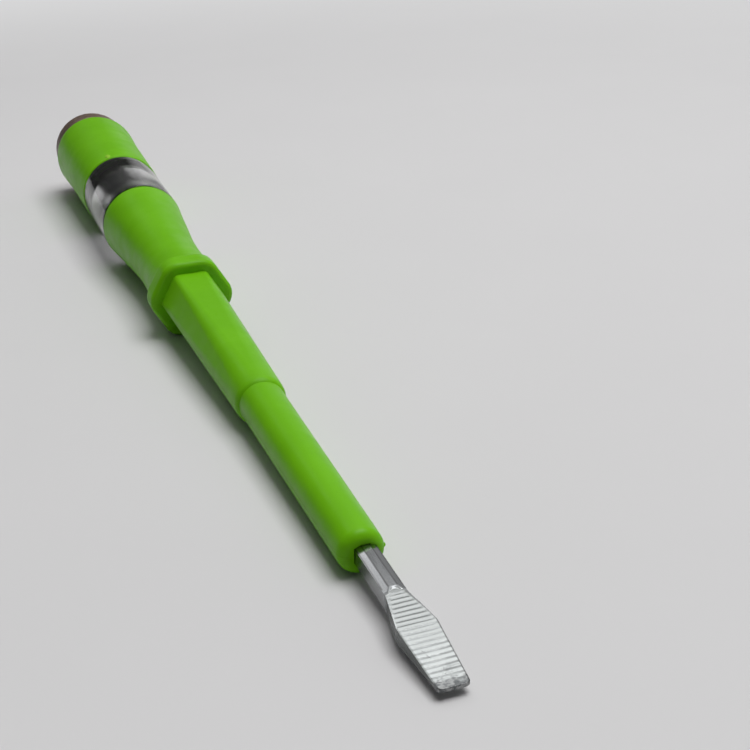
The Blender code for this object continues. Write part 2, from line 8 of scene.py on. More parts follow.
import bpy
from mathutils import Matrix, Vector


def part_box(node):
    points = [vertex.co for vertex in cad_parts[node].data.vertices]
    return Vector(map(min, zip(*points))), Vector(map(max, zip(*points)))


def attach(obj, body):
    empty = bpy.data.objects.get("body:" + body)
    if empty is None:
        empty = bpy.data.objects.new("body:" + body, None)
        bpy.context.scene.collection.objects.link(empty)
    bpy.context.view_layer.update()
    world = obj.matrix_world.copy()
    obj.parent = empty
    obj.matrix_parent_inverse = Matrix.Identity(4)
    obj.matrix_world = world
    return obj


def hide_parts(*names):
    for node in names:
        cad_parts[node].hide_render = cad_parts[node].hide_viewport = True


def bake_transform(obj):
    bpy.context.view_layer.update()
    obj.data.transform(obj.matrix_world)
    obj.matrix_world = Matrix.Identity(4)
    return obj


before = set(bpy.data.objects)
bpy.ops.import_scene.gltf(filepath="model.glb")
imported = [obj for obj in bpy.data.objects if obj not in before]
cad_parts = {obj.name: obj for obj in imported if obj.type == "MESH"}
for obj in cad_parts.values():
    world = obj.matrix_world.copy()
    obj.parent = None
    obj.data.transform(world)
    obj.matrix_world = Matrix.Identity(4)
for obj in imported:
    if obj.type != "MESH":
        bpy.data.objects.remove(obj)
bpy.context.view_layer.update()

import math

import bmesh
import bpy
import numpy as np
from mathutils import Matrix, Vector

# %% [markdown]
# ## One ruler for the whole tool
#
# Every piece of the tool is strung on one axis, so one ruler is enough. A station is a distance back from the tip
# of the blade. `place` turns a station and a point of the cross-section into the frame's own coordinates, with
# the blade towards +X, and `place_round` does so for a radius and an angle. The stations of the seams are read off
# the frame's nodes, so nothing can drift.

# %% Stations
blade_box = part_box("blade")
TIP_X = blade_box[1][0]
AXIS_HEIGHT = (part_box("rear_cap")[0][2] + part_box("rear_cap")[1][2]) / 2


def station_of(x):
    return TIP_X - x


SLEEVE_FRONT = station_of(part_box("insulating_sleeve")[1][0])
NOSE_FRONT = station_of(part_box("handle_body")[1][0])
BARREL_END = station_of(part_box("handle_body")[0][0])
CAP_FRONT = station_of(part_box("rear_cap")[1][0])
CAP_REAR = station_of(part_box("rear_cap")[0][0])
TOOL_LENGTH = station_of(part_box("end_contact")[0][0])
SEAM = 0.0003
FINE_GAP = 0.00005
WINDOW_FRONT = BARREL_END + SEAM
WINDOW_REAR = CAP_FRONT - SEAM
CONTACT_FRONT = CAP_REAR + SEAM
COLLAR_FRONT = NOSE_FRONT + 0.0385


def place(station, up, across):
    return (TIP_X - station, across, AXIS_HEIGHT + up)


def place_round(station, radius, angle):
    return place(station, radius * math.cos(angle), radius * math.sin(angle))


def part_way(start, end, share):
    return start + (end - start) * share


def add_object(name, data):
    thing = bpy.data.objects.new(name, data)
    bpy.context.scene.collection.objects.link(thing)
    return thing


print(f"sleeve {SLEEVE_FRONT:.4f}, nose {NOSE_FRONT:.4f}, collar {COLLAR_FRONT:.4f}, barrel end {BARREL_END:.4f},")
print(f"cap {CAP_FRONT:.4f} to {CAP_REAR:.4f}, length {TOOL_LENGTH:.4f}, axis at {AXIS_HEIGHT:.5f}")

# %% [markdown]
# ## Camera
#
# The photograph was taken from in front of the tip and above it, close enough that the rear of the tool looks
# small. The camera's place is given from a point on the axis at the sleeve's front edge, and its direction by the
# two vectors that point backwards and up from it.

# %% Camera
TARGET_STATION = 0.0234
CAMERA_OFFSET = Vector((0.1057, -0.035989, 0.072664))
SENSOR_WIDTH = 36.0
FOCAL_LENGTH = 61.87
NEAR_CLIP = 0.005
camera_target = Vector(place(TARGET_STATION, 0.0, 0.0))
camera_back = Vector((0.85083, -0.30592, 0.42710)).normalized()
camera_right = Vector((-0.39278, 0.16935, 0.90379)).cross(camera_back).normalized()
camera_up = camera_back.cross(camera_right)

camera_data = bpy.data.cameras.new("camera")
camera_data.sensor_width = SENSOR_WIDTH
camera_data.lens = FOCAL_LENGTH
camera_data.clip_start = NEAR_CLIP
camera = add_object("camera", camera_data)
camera_axes = Matrix((camera_right, camera_up, camera_back)).transposed().to_4x4()
camera.matrix_world = Matrix.Translation(camera_target + CAMERA_OFFSET) @ camera_axes
bpy.context.scene.camera = camera
looking_down = math.degrees(math.asin(camera_back.z))
print("camera at", [round(v, 4) for v in camera.location], "looking down by", round(looking_down, 1), "degrees")

# %% [markdown]
# ## Helpers for node trees
#
# Materials, the surround and the Geometry Nodes trees are all graphs. `Graph` keeps them short to write: a call adds
# one node, feeds its inputs, and returns the node or its output. `Nodes` adds what a material needs.


# %% Graph helpers
class Graph:
    def __init__(self, tree):
        self.tree = tree

    def add(self, kind, inputs=None, **settings):
        node = self.tree.nodes.new(kind)
        for key, value in settings.items():
            setattr(node, key, value)
        for key, value in (inputs or {}).items():
            self.feed(node.inputs[key], value)
        return node

    def feed(self, socket, value):
        if isinstance(value, bpy.types.NodeSocket):
            self.tree.links.new(value, socket)
        else:
            socket.default_value = value

    def math(self, operation, *values):
        return self.add("ShaderNodeMath", dict(enumerate(values)), operation=operation).outputs[0]

    def plus(self, first, second):
        return self.math("ADD", first, second)

    def minus(self, first, second):
        return self.math("SUBTRACT", first, second)

    def larger(self, first, second):
        return self.math("MAXIMUM", first, second)

    def absolute(self, value):
        return self.math("ABSOLUTE", value)

    def times(self, first, *others):
        for other in others:
            first = self.math("MULTIPLY", first, other)
        return first

    def apart(self, first, second):
        return self.absolute(self.minus(first, second))

    def remap(self, value, low, high, to_low=0.0, to_high=1.0):
        inputs = {"Value": value, "From Min": low, "From Max": high, "To Min": to_low, "To Max": to_high}
        return self.add("ShaderNodeMapRange", inputs, interpolation_type="SMOOTHSTEP").outputs[0]

    def split(self, vector):
        return self.add("ShaderNodeSeparateXYZ", {"Vector": vector}).outputs


class Nodes(Graph):
    def __init__(self, name):
        self.material = bpy.data.materials.new(name)
        self.material.use_nodes = True
        super().__init__(self.material.node_tree)
        self.shader = self.tree.nodes["Principled BSDF"]
        self.space = self.add("ShaderNodeTexCoord").outputs["Object"]

    def plain(self, **values):
        for key, value in values.items():
            self.shader.inputs[key.replace("_", " ")].default_value = value

    def scaled(self, scale, turn=(0.0, 0.0, 0.0)):
        return self.add("ShaderNodeMapping", {"Vector": self.space, "Scale": scale, "Rotation": turn}).outputs[0]

    def noise(self, scale, detail=3.0, roughness=0.5, vector=None):
        inputs = {"Vector": vector or self.space, "Scale": scale, "Detail": detail, "Roughness": roughness}
        return self.add("ShaderNodeTexNoise", inputs).outputs["Fac"]

    def mark(self, name):
        return self.add("ShaderNodeAttribute", attribute_name=name).outputs["Fac"]

    def mix(self, factor, first, second):
        node = self.add("ShaderNodeMix", data_type="RGBA")
        self.feed(node.inputs["Factor"], factor)
        self.feed(node.inputs[6], first)
        self.feed(node.inputs[7], second)
        return node.outputs[2]

    def bump(self, height, distance, strength=1.0, under=None):
        inputs = {"Height": height, "Distance": distance, "Strength": strength}
        if under:
            inputs["Normal"] = under
        return self.add("ShaderNodeBump", inputs).outputs[0]

    def to(self, name, value):
        self.feed(self.shader.inputs[name], value)

    def rough(self, scale, detail, low, high, end=0.7):
        self.to("Roughness", self.remap(self.noise(scale, detail), 0.3, end, low, high))

    def grained(self, scale, detail, distance, strength):
        self.to("Normal", self.bump(self.noise(scale, detail), distance, strength))


def colour(red, green, blue):
    return (red, green, blue, 1.0)


print("graph helpers ready")

# %% [markdown]
# ## Green plastic
#
# The handle, the sleeve and the cap are moulded in one green. It is satin: broad soft highlights and no sharp
# reflection, because the mould's surface is very slightly grained. The grain is a fine bump, the roughness drifts
# a little, the colour is a touch duller in cloudy patches, and a faint line runs along the parting of the mould.


# %% Green plastic
def green_plastic(name, roughness, paleness=1.0):
    m = Nodes(name)
    cloudy = m.remap(m.noise(140.0, 4.0), 0.35, 0.7)
    specks = m.remap(m.noise(2600.0, 2.0), 0.60, 0.78, 0.0, 0.35)
    cool = colour(0.153 * paleness, 0.470 * min(paleness, 1.2), 0.04 * paleness - 0.035)
    warm = colour(0.166 * paleness, 0.500 * min(paleness, 1.2), 0.04 * paleness - 0.034)
    m.to("Base Color", m.mix(specks, m.mix(cloudy, cool, warm), colour(0.125, 0.380, 0.005)))
    handled = m.remap(m.noise(320.0, 4.0), 0.3, 0.7, roughness - 0.05, roughness + 0.07)
    drawn_out = m.scaled((700.0, 2600.0, 2600.0), (0.0, 0.0, 0.5))
    scuffs = m.remap(m.noise(1.0, 3.0, 0.6, drawn_out), 0.66, 0.74, 0.0, 0.12)
    m.to("Roughness", m.plus(handled, scuffs))
    from_parting = m.apart(m.split(m.space)["Z"], AXIS_HEIGHT)
    parting = m.bump(m.remap(from_parting, 0.00002, 0.00010, 1.0, 0.0), 0.00004, 0.6)
    grain = m.bump(m.noise(5200.0, 3.0, 0.6), 0.000012, 0.5, under=parting)
    m.to("Normal", m.bump(m.noise(420.0, 3.0), 0.00006, 0.25, under=grain))
    m.plain(Specular_IOR_Level=0.12)
    return m.material


handle_green = green_plastic("handle_green", 0.36)
sleeve_green = green_plastic("sleeve_green", 0.33)
# A paler green for the cap's moulding pip: a painted highlight.
pale_green = green_plastic("pale_green", 0.40, 1.9)
print("green plastics:", handle_green.name, sleeve_green.name, pale_green.name)

# %% [markdown]
# ## Metals
#
# The bar is nickel-plated steel. Its pressed faces are finely lined across by the die, shade is painted dark into
# the grooves between their ridges, and the faces are painted lighter towards the tip and darker further back, as
# painted light and shade. The last millimetre is worn to a ragged, blotchy edge with a few nicks. The rest of the
# bar is darker and lined lengthwise, with thin dark lines along its drawn edges. The blade's cell marks its faces,
# and the
# material reads the marks: "pressed" for the ridged faces, a mark for the sides, which paints them dark as shade,
# and
# "step" for the arc behind the blade. One recipe with a light haze serves the touch plate, which has tarnished to
# brown, and the small metal parts inside.


# %% Metals
SHANK_HALF = 0.00117
SHANK_CUT_ACROSS = 0.0007
SHANK_CUT_UP = 0.00027
SHANK_OFFSET = 0.00022
PRESSED = 0.0138
RIDGE_PITCH = 0.00068
RIDGES_FROM = 0.0008
NICKS = (  # station, across, turn, length, width
    (0.0019, -0.0001, 0.75, 0.0009, 0.00013),
    (0.0015, -0.0003, -0.60, 0.0008, 0.00012),
    (0.0024, 0.0002, -0.35, 0.0006, 0.00008),
    (0.0009, -0.0009, 1.45, 0.0009, 0.00016),
    (0.0012, 0.0008, 1.20, 0.0012, 0.00007),
    (0.0046, -0.0006, 0.30, 0.0016, 0.00006),
)


def scratch(m, station, across, turn, length, width):
    """A mask for one short straight scratch, told by its middle, its turn from the tool's axis and its size."""
    middle = (TIP_X - station, across, 0.0)
    moved = m.add("ShaderNodeVectorMath", {0: m.space, 1: middle}, operation="SUBTRACT").outputs[0]
    turned_to = m.add("ShaderNodeVectorRotate", {"Vector": moved, "Angle": -turn}, rotation_type="Z_AXIS").outputs[0]
    axes = m.split(turned_to)
    along = m.remap(m.absolute(axes["X"]), length * 0.3, length * 0.5, 1.0, 0.0)
    return m.times(along, m.remap(m.absolute(axes["Y"]), width * 0.2, width * 0.5, 1.0, 0.0))


def line_at(m, value, middle, half_width):
    """A mask for one thin line, where a value comes near a middle."""
    return m.remap(m.apart(value, middle), half_width * 0.4, half_width, 1.0, 0.0)


def plated_steel():
    m = Nodes("plated_steel")
    axes = m.split(m.space)
    step, pressed, flank_shade = m.mark("step"), m.mark("pressed"), m.mark("flank_shade")

    def back_from_tip(start, end, *reach):
        return m.remap(axes["X"], TIP_X - start, TIP_X - end, *reach)

    aside = m.apart(axes["Y"], SHANK_OFFSET)
    above = m.apart(axes["Z"], AXIS_HEIGHT)
    inner_edge = line_at(m, aside, SHANK_HALF - SHANK_CUT_ACROSS, 0.00011)
    outer_edge = line_at(m, above, SHANK_HALF - SHANK_CUT_UP, 0.00008)
    outer_edge = m.times(outer_edge, m.remap(aside, 0.0009, 0.0011))
    on_bar = back_from_tip(PRESSED + 0.0013, PRESSED + 0.0009, 1.0, 0.0)
    drawn_edges = m.times(m.larger(inner_edge, outer_edge), on_bar)

    across = m.noise(1.0, 5.0, 0.62, m.scaled((5200.0, 260.0, 900.0)))
    along = m.noise(1.0, 5.0, 0.60, m.scaled((180.0, 3800.0, 3800.0)))
    lines = m.plus(m.times(across, pressed), m.times(along, m.minus(1.0, pressed)))

    turns = m.times(m.minus(TIP_X - RIDGES_FROM, axes["X"]), math.pi / RIDGE_PITCH)
    groove = m.remap(m.absolute(m.math("SINE", turns)), 0.25, 0.90, 1.0, 0.0)
    patchy = m.remap(m.noise(1.0, 3.0, 0.6, m.scaled((900.0, 500.0, 900.0))), 0.35, 0.65, 0.34, 0.80)
    # Painted shade: the grooves between the ridges are darkened, in patches.
    groove_shade = m.times(groove, patchy, pressed)

    near_tip = back_from_tip(0.0040, 0.0006)
    stains = m.remap(m.noise(900.0, 5.0, 0.62), 0.52, 0.70, 0.0, 0.6)
    streaks = m.times(m.remap(across, 0.50, 0.66, 0.0, 0.7), near_tip)
    ragged = m.times(m.minus(m.noise(1300.0, 4.0, 0.6), 0.5), 0.0030)
    at_tip = m.remap(m.plus(axes["X"], ragged), TIP_X - 0.0016, TIP_X - 0.0005, 0.0, 0.85)
    worn = m.plus(m.times(stains, near_tip), m.larger(streaks, at_tip))
    blotches = m.remap(m.noise(1.0, 4.0, 0.6, m.scaled((2400.0, 1500.0, 1500.0))), 0.44, 0.56)

    nicks = scratch(m, *NICKS[0])
    for nick in NICKS[1:]:
        nicks = m.larger(nicks, scratch(m, *nick))
    nicks = m.times(nicks, m.remap(m.noise(2600.0, 3.0), 0.38, 0.55, 0.15, 1.0))

    towards_tip = back_from_tip(0.0085, 0.0035)
    # The painted groove shade grows stronger towards the tip.
    tip_groove_shade = m.times(groove_shade, m.remap(towards_tip, 0.0, 1.0, 0.25, 1.0))
    # Thin dark lines along the edges of the bar's cut corners.
    dark_edge_lines = m.times(drawn_edges, m.remap(along, 0.35, 0.60, 0.45, 0.80))
    # Painted light and shade: the pressed face is coloured lighter towards the tip and darker further back.
    face = m.mix(towards_tip, colour(0.545, 0.57, 0.565), colour(0.62, 0.65, 0.645))
    face = m.mix(tip_groove_shade, face, colour(0.22, 0.23, 0.23))
    body = m.mix(pressed, colour(0.375, 0.385, 0.395), face)
    # Painted shade: the sides, and the cut faces near the tip, are coloured dark, as if mirroring the shadowed
    # floor.
    body = m.mix(flank_shade, body, colour(0.105, 0.115, 0.11))
    body = m.mix(dark_edge_lines, body, colour(0.09, 0.09, 0.09))
    body = m.mix(worn, body, m.mix(blotches, colour(0.10, 0.105, 0.11), colour(0.31, 0.315, 0.315)))
    body = m.mix(m.times(nicks, 0.85), body, colour(0.11, 0.11, 0.115))
    m.to("Base Color", m.mix(m.remap(lines, 0.54, 0.76, 0.0, 0.35), body, colour(0.36, 0.37, 0.37)))

    dull = m.larger(m.times(flank_shade, 0.12), m.times(m.larger(step, nicks), 0.32))
    m.to("Roughness", m.plus(m.remap(lines, 0.3, 0.75, 0.11, 0.22), dull))
    m.plain(Metallic=1.0)
    nicked = m.bump(nicks, -0.000008, 0.25)
    m.to("Normal", m.bump(lines, 0.000010, 0.5, under=nicked))
    return m.material


def small_metal(name, bright, dull, roughness, bareness=1.0):
    m = Nodes(name)
    haze = m.remap(m.noise(1500.0, 4.0), 0.4, 0.7)
    m.to("Base Color", m.mix(haze, bright, dull))
    m.rough(2400.0, 3.0, roughness, roughness + 0.12)
    m.grained(4000.0, 3.0, 0.000008, 0.4)
    m.plain(Metallic=bareness)
    return m.material


blade_steel = plated_steel()
brown_metal = small_metal("brown_metal", colour(0.22, 0.150, 0.115), colour(0.13, 0.090, 0.070), 0.38, 0.5)
nickel_plate = small_metal("nickel_plate", colour(0.60, 0.58, 0.54), colour(0.40, 0.38, 0.35), 0.22)
spring_wire = small_metal("spring_wire", colour(0.52, 0.52, 0.51), colour(0.34, 0.34, 0.33), 0.28)
electrode_metal = small_metal("electrode_metal", colour(0.16, 0.155, 0.15), colour(0.08, 0.078, 0.075), 0.45)
print("metals:", blade_steel.name, brown_metal.name, nickel_plate.name, spring_wire.name, electrode_metal.name)

# %% [markdown]
# ## Clear plastic, lamp glass and lacquer
#
# The window is a thick clear tube. Light bends so strongly in it that its bore looks half as wide again as it is.
# It is clean but not perfect: the outside has faint flow marks and its roughness drifts. The lamp's glass is
# thinner, and tinted dark grey as painted shade for the shaded bore behind the window. The resistor is a lacquered
# rod. The window's rear shoulder, at the joint with the cap, is painted dark as shade, lighter on the lit right
# side.
# A clear shoulder would throw the floor back as a bright ring.


# %% Clear plastic, glass and lacquer
def clear_plastic():
    m = Nodes("clear_plastic")
    m.plain(Base_Color=colour(0.99, 0.995, 0.995), Transmission_Weight=1.0, IOR=1.49)
    m.rough(500.0, 4.0, 0.05, 0.15, end=0.75)
    m.to("Normal", m.bump(m.noise(260.0, 3.0, vector=m.scaled((0.35, 1.0, 1.0))), 0.00005, 0.25))
    return m.material


def lamp_glass():
    m = Nodes("lamp_glass")
    # The glass is tinted dark grey: painted shade, standing in for the shaded bore behind the window.
    m.plain(Base_Color=colour(0.22, 0.225, 0.225), Transmission_Weight=1.0, IOR=1.47)
    m.rough(900.0, 3.0, 0.01, 0.06)
    m.grained(600.0, 2.0, 0.00002, 0.2)
    return m.material


def lacquer():
    m = Nodes("resistor_lacquer")
    patches = m.remap(m.noise(900.0, 3.0), 0.35, 0.7)
    m.to("Base Color", m.mix(patches, colour(0.50, 0.36, 0.23), colour(0.60, 0.45, 0.30)))
    m.rough(1400.0, 3.0, 0.35, 0.6)
    m.grained(2500.0, 3.0, 0.00002, 0.4)
    return m.material


def joint_grime():
    m = Nodes("joint_grime")
    # Painted shade at the joint: dark on the shoulder, and lighter towards the lit right side.
    deep_shade = m.mix(m.noise(1500.0, 3.0), colour(0.020, 0.026, 0.018), colour(0.045, 0.055, 0.035))
    lit_side = m.remap(m.split(m.space)["Y"], -0.0005, 0.0035)
    m.to("Base Color", m.mix(lit_side, deep_shade, colour(0.80, 0.81, 0.79)))
    m.rough(2500.0, 2.0, 0.55, 0.85)
    return m.material


window_clear = clear_plastic()
glass = lamp_glass()
resistor_lacquer = lacquer()
shoulder_shade = joint_grime()
print("clear:", window_clear.name, glass.name, "| other:", resistor_lacquer.name, shoulder_shade.name)

# %% [markdown]
# ## Skins from rings
#
# Nearly every piece is turned or lofted, so a few helpers make them all. `rounded` takes the corners of a profile
# as (station, radius), with a true arc where a fillet follows. `skin` joins rings of points, closes the ends of a
# solid piece with a point on the axis, and marks the sharp edges. `turned` does both for a round piece, `quarter`
# is the round of an edge, `dome` makes a small lump, and `finish_piece` hands the result to the frame.

# %% Ring helpers
ROUND_SEGMENTS = 128
ARC_STEPS = 7
DOME_RINGS = 9
DOME_SEGMENTS = 32
ON_AXIS = 1e-6


def steps_of(count):
    return [step / count for step in range(count + 1)]


def angles_of(count):
    return [2 * math.pi * index / count for index in range(count)]


def rounded(corners):
    path = []
    count = len(corners)
    for index, (station, radius, *fillet) in enumerate(corners):
        here = Vector((station, radius))
        if not fillet:
            path.append(here)
            continue
        before = Vector(corners[index - 1][:2]) - here
        after = Vector(corners[(index + 1) % count][:2]) - here
        half_angle = before.angle(after) / 2
        reach = min(fillet[0] / math.tan(half_angle), before.length / 2, after.length / 2)
        arc_radius = reach * math.tan(half_angle)
        middle = (before.normalized() + after.normalized()).normalized()
        centre = here + middle * math.hypot(reach, arc_radius)
        start = here + before.normalized() * reach - centre
        end = here + after.normalized() * reach - centre
        turn = start.angle(end)
        for share in steps_of(ARC_STEPS):
            arm = start * math.sin((1 - share) * turn) + end * math.sin(share * turn)
            path.append(centre + arm / math.sin(turn))
    return path


def skin(name, rings, closed, sharp=32):
    """Joins rings of placed points. A closed skin's last ring meets its first, an open one gets a pole each end."""
    shape = bmesh.new()
    loops = [[shape.verts.new(point) for point in ring] for ring in rings]
    pairs = list(zip(loops, loops[1:]))
    if closed:
        pairs.append((loops[-1], loops[0]))
    for first, second in pairs:
        for side in range(len(first)):
            after = (side + 1) % len(first)
            shape.faces.new((first[side], first[after], second[after], second[side]))
    if not closed:
        for loop in (loops[0], loops[-1]):
            pole = shape.verts.new(sum((vertex.co for vertex in loop), Vector()) / len(loop))
            for side in range(len(loop)):
                shape.faces.new((loop[side], loop[(side + 1) % len(loop)], pole))
    bmesh.ops.recalc_face_normals(shape, faces=shape.faces)
    mesh = bpy.data.meshes.new(name)
    shape.to_mesh(mesh)
    shape.free()
    mesh.shade_smooth()
    mesh.set_sharp_from_angle(angle=math.radians(sharp))
    return mesh


def quarter(fillet, rising, steps=8):
    """Inset and advance of a quarter round that rises to full size or falls away from it."""
    angles = [math.pi / 2 * step / steps for step in range(steps + 1)]
    run = [(fillet * (1 - math.sin(angle)), fillet * (1 - math.cos(angle))) for angle in angles]
    return run if rising else [(inset, fillet - advance) for inset, advance in reversed(run)]


def circle(station, radius, segments=ROUND_SEGMENTS):
    return [place_round(station, radius, angle) for angle in angles_of(segments)]


def turned(name, corners, hollow=True, segments=ROUND_SEGMENTS):
    path = [point for point in rounded(corners) if hollow or point.y > ON_AXIS]
    return skin(name, [circle(point.x, point.y, segments) for point in path], closed=hollow)


def dome(name, foot, outward, along, half_width, height):
    """A small rounded lump. It rises outward from a foot and is stretched along one direction."""
    up = Vector(outward).normalized()
    side = Vector(along).normalized()
    half_length = half_width * Vector(along).length
    rings = []
    for step in range(DOME_RINGS):
        angle = math.pi / 2 * step / DOME_RINGS
        ring = []
        for turn in angles_of(DOME_SEGMENTS):
            flat = side * half_length * math.cos(turn) + up.cross(side) * half_width * math.sin(turn)
            ring.append(Vector(foot) + flat * math.cos(angle) + up * height * math.sin(angle))
        rings.append(ring)
    sunk = [point - up * height for point in rings[0]]
    return skin(name, [sunk] + rings, closed=False, sharp=60)


def finish_piece(name, mesh, material, body, slot, *nodes):
    mesh.materials.clear()
    mesh.materials.append(material)
    piece = add_object(name, mesh)
    if body:
        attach(piece, body)
    if nodes:
        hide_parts(*nodes)
    print(f"{name}: {len(mesh.polygons)} faces")
    return piece


print("skins:", ROUND_SEGMENTS, "points round,", ARC_STEPS, "steps in an arc")

# %% [markdown]
# ## Blade
#
# The blade is the bar's own end, pressed flat between two dies. It wedges down to the tip, it is widest at its
# shoulders, and the die leaves fine ridges across both faces. The blank is a loft of close slices, each with the
# bar's cut corners, which an arc-shaped step ends where the press begins. A Geometry Nodes tree then presses the
# ridges in, because they follow one rule: a row of shallow waves, pitch after pitch, that are worn near the tip and
# deepest at the end of the press.

# %% Blade sizes
EDGE_ACROSS = 0.00012
EDGE_UP = 0.00005
TIP_CORNER = 0.0004
TIP_HALF_WIDTH = 0.00157
TIP_HALF_THICKNESS = 0.00020
SHOULDER = 0.0088
SHOULDER_HALF_WIDTH = 0.00205
SHOULDER_HALF_THICKNESS = 0.00088
PRESSED_HALF_THICKNESS = 0.00105
ARC_REACH = 0.0008
ARC_STEP = 0.0003
BOW_FADE = 0.0020
BLADE_END = station_of(blade_box[0][0])
BAR_STATIONS = (0.0, SHOULDER, PRESSED)
HALF_WIDTHS = (TIP_HALF_WIDTH, SHOULDER_HALF_WIDTH, SHANK_HALF)
HALF_THICKNESSES = (TIP_HALF_THICKNESS, SHOULDER_HALF_THICKNESS, PRESSED_HALF_THICKNESS)
FACE_SHARES = (-1.0, -0.9, -0.75, -0.6, -0.4, -0.2, 0.0, 0.2, 0.4, 0.6, 0.75, 0.9, 1.0)


def along_bar(station, sizes):
    """A size of the bar at a station, with a straight run between the named stations and none beyond them."""
    return float(np.interp(station, BAR_STATIONS, sizes))


def bar_section(station):
    """The bar's outline. The dies flatten it up to a small arc-shaped step, behind which it keeps its cut corners.
    Near the step the slices bow like it, so that it runs along them."""
    half_width = along_bar(station, HALF_WIDTHS)
    if station < TIP_CORNER:
        half_width -= TIP_CORNER - math.sqrt(TIP_CORNER**2 - (TIP_CORNER - station) ** 2)
    cut_foot = SHANK_HALF - SHANK_CUT_UP
    cut_across = SHANK_CUT_ACROSS * (along_bar(station, HALF_THICKNESSES) - cut_foot) / SHANK_CUT_UP
    flat = half_width - max(cut_across, EDGE_ACROSS)
    rise = min(max((station - PRESSED) / ARC_STEP, 0.0), 1.0)
    beyond = max(PRESSED - station, station - PRESSED - ARC_STEP, 0.0)
    bow = ARC_REACH * max(1 - beyond / BOW_FADE, 0.0)
    top = []
    for share in FACE_SHARES:
        bowed = station + bow * (1 - share * share)
        pressed = along_bar(bowed, HALF_THICKNESSES)
        past_cut = abs(flat * share) - SHANK_HALF + SHANK_CUT_ACROSS
        cut_line = SHANK_HALF - SHANK_CUT_UP * past_cut / SHANK_CUT_ACROSS
        behind = max(min(SHANK_HALF, cut_line) - pressed, 0.0)
        top.append((bowed, pressed + behind * rise * rise * (3 - 2 * rise), flat * share))
    side = min(cut_foot, along_bar(station, HALF_THICKNESSES) - EDGE_UP)
    outline = top + [(station, side, half_width), (station, -side, half_width)]
    outline += [(bowed, -up, -across) for bowed, up, across in top]
    outline += [(station, -side, -half_width), (station, side, -half_width)]
    return [place(bowed, up, across + SHANK_OFFSET) for bowed, up, across in outline]


print("blade: pressed for", PRESSED * 1000, "mm,", round(BLADE_END * 1000, 1), "mm long in all")


# %% Geometry tree helpers
class GeometryTree(Graph):
    """A Geometry Nodes tree with named inputs, a mesh among them, and a material that its result gets."""

    def __init__(self, name, *sizes):
        super().__init__(bpy.data.node_groups.new(name, "GeometryNodeTree"))
        face = self.tree.interface
        face.new_socket("Geometry", in_out="INPUT", socket_type="NodeSocketGeometry")
        for size in sizes:
            face.new_socket(size, in_out="INPUT", socket_type="NodeSocketFloat")
        face.new_socket("Material", in_out="INPUT", socket_type="NodeSocketMaterial")
        face.new_socket("Geometry", in_out="OUTPUT", socket_type="NodeSocketGeometry")
        self.given = self.add("NodeGroupInput").outputs

    def position(self):
        return self.split(self.add("GeometryNodeInputPosition").outputs[0])

    def weight(self, name):
        return self.add("GeometryNodeInputNamedAttribute", {"Name": name}).outputs[0]

    def moved(self, offset):
        return self.add("GeometryNodeSetPosition", {"Geometry": self.given["Geometry"], "Offset": offset}).outputs[0]

    def ended(self, geometry):
        real = self.add("GeometryNodeRealizeInstances", {0: geometry}).outputs[0]
        dressed = self.add("GeometryNodeSetMaterial", {"Geometry": real, "Material": self.given["Material"]})
        self.feed(self.add("NodeGroupOutput").inputs[0], dressed.outputs[0])
        return self.tree


def through_tree(name, mesh, tree, material, **sizes):
    """Runs a mesh through a Geometry Nodes tree and returns the result as a plain mesh."""
    values = {"Tip X": TIP_X, "Axis Height": AXIS_HEIGHT, "Material": material}
    values.update({key.replace("_", " ").title(): size for key, size in sizes.items()})
    holder = add_object(name + "_blank", mesh)
    modifier = holder.modifiers.new("tree", "NODES")
    modifier.node_group = tree
    for item in tree.interface.items_tree:
        if item.in_out == "INPUT" and item.name in values:
            modifier[item.identifier] = values[item.name]
    evaluated = holder.evaluated_get(bpy.context.evaluated_depsgraph_get())
    result = bpy.data.meshes.new_from_object(evaluated)
    result.name = name
    bpy.data.objects.remove(holder, do_unlink=True)
    return result


def write_marks(mesh, name, domain, values):
    """Gives each point or face of a mesh a number, for a tree or a material to read."""
    mesh.attributes.new(name, "FLOAT", domain).data.foreach_set("value", values)


print("geometry tree helpers ready")


# %% Ridge tree
RIDGE_DEPTH = 0.000022
RIDGE_COUNT = 19
RIDGE_SHARPNESS = 1.2
RIDGE_GROWTH = 0.10
WORN_DEPTH = 0.45


def ridge_tree():
    g = GeometryTree("pressed_ridges", "Pitch", "Depth", "First Ridge", "Last Ridge", "Tip X", "Axis Height")
    point = g.position()
    station = g.minus(g.given["Tip X"], point["X"])
    phase = g.math("DIVIDE", g.minus(station, g.given["First Ridge"]), g.given["Pitch"])
    wave = g.math("POWER", g.absolute(g.math("SINE", g.times(phase, math.pi))), RIDGE_SHARPNESS)
    grown = g.math("MINIMUM", 1.0, g.math("MULTIPLY_ADD", phase, RIDGE_GROWTH, WORN_DEPTH))
    groove = g.times(g.minus(1.0, wave), grown, g.given["Depth"])
    past_first = g.math("GREATER_THAN", station, g.given["First Ridge"])
    inside = g.times(past_first, g.math("LESS_THAN", station, g.given["Last Ridge"]))
    side = g.math("SIGN", g.minus(point["Z"], g.given["Axis Height"]))
    sink = g.times(g.times(groove, inside), g.times(side, g.weight("face_weight")))
    return g.ended(g.moved(g.add("ShaderNodeCombineXYZ", {"Z": g.times(sink, -1.0)}).outputs[0]))


ridges = ridge_tree()
print("ridge tree:", ridges.name, "with", RIDGE_COUNT, "ridges")

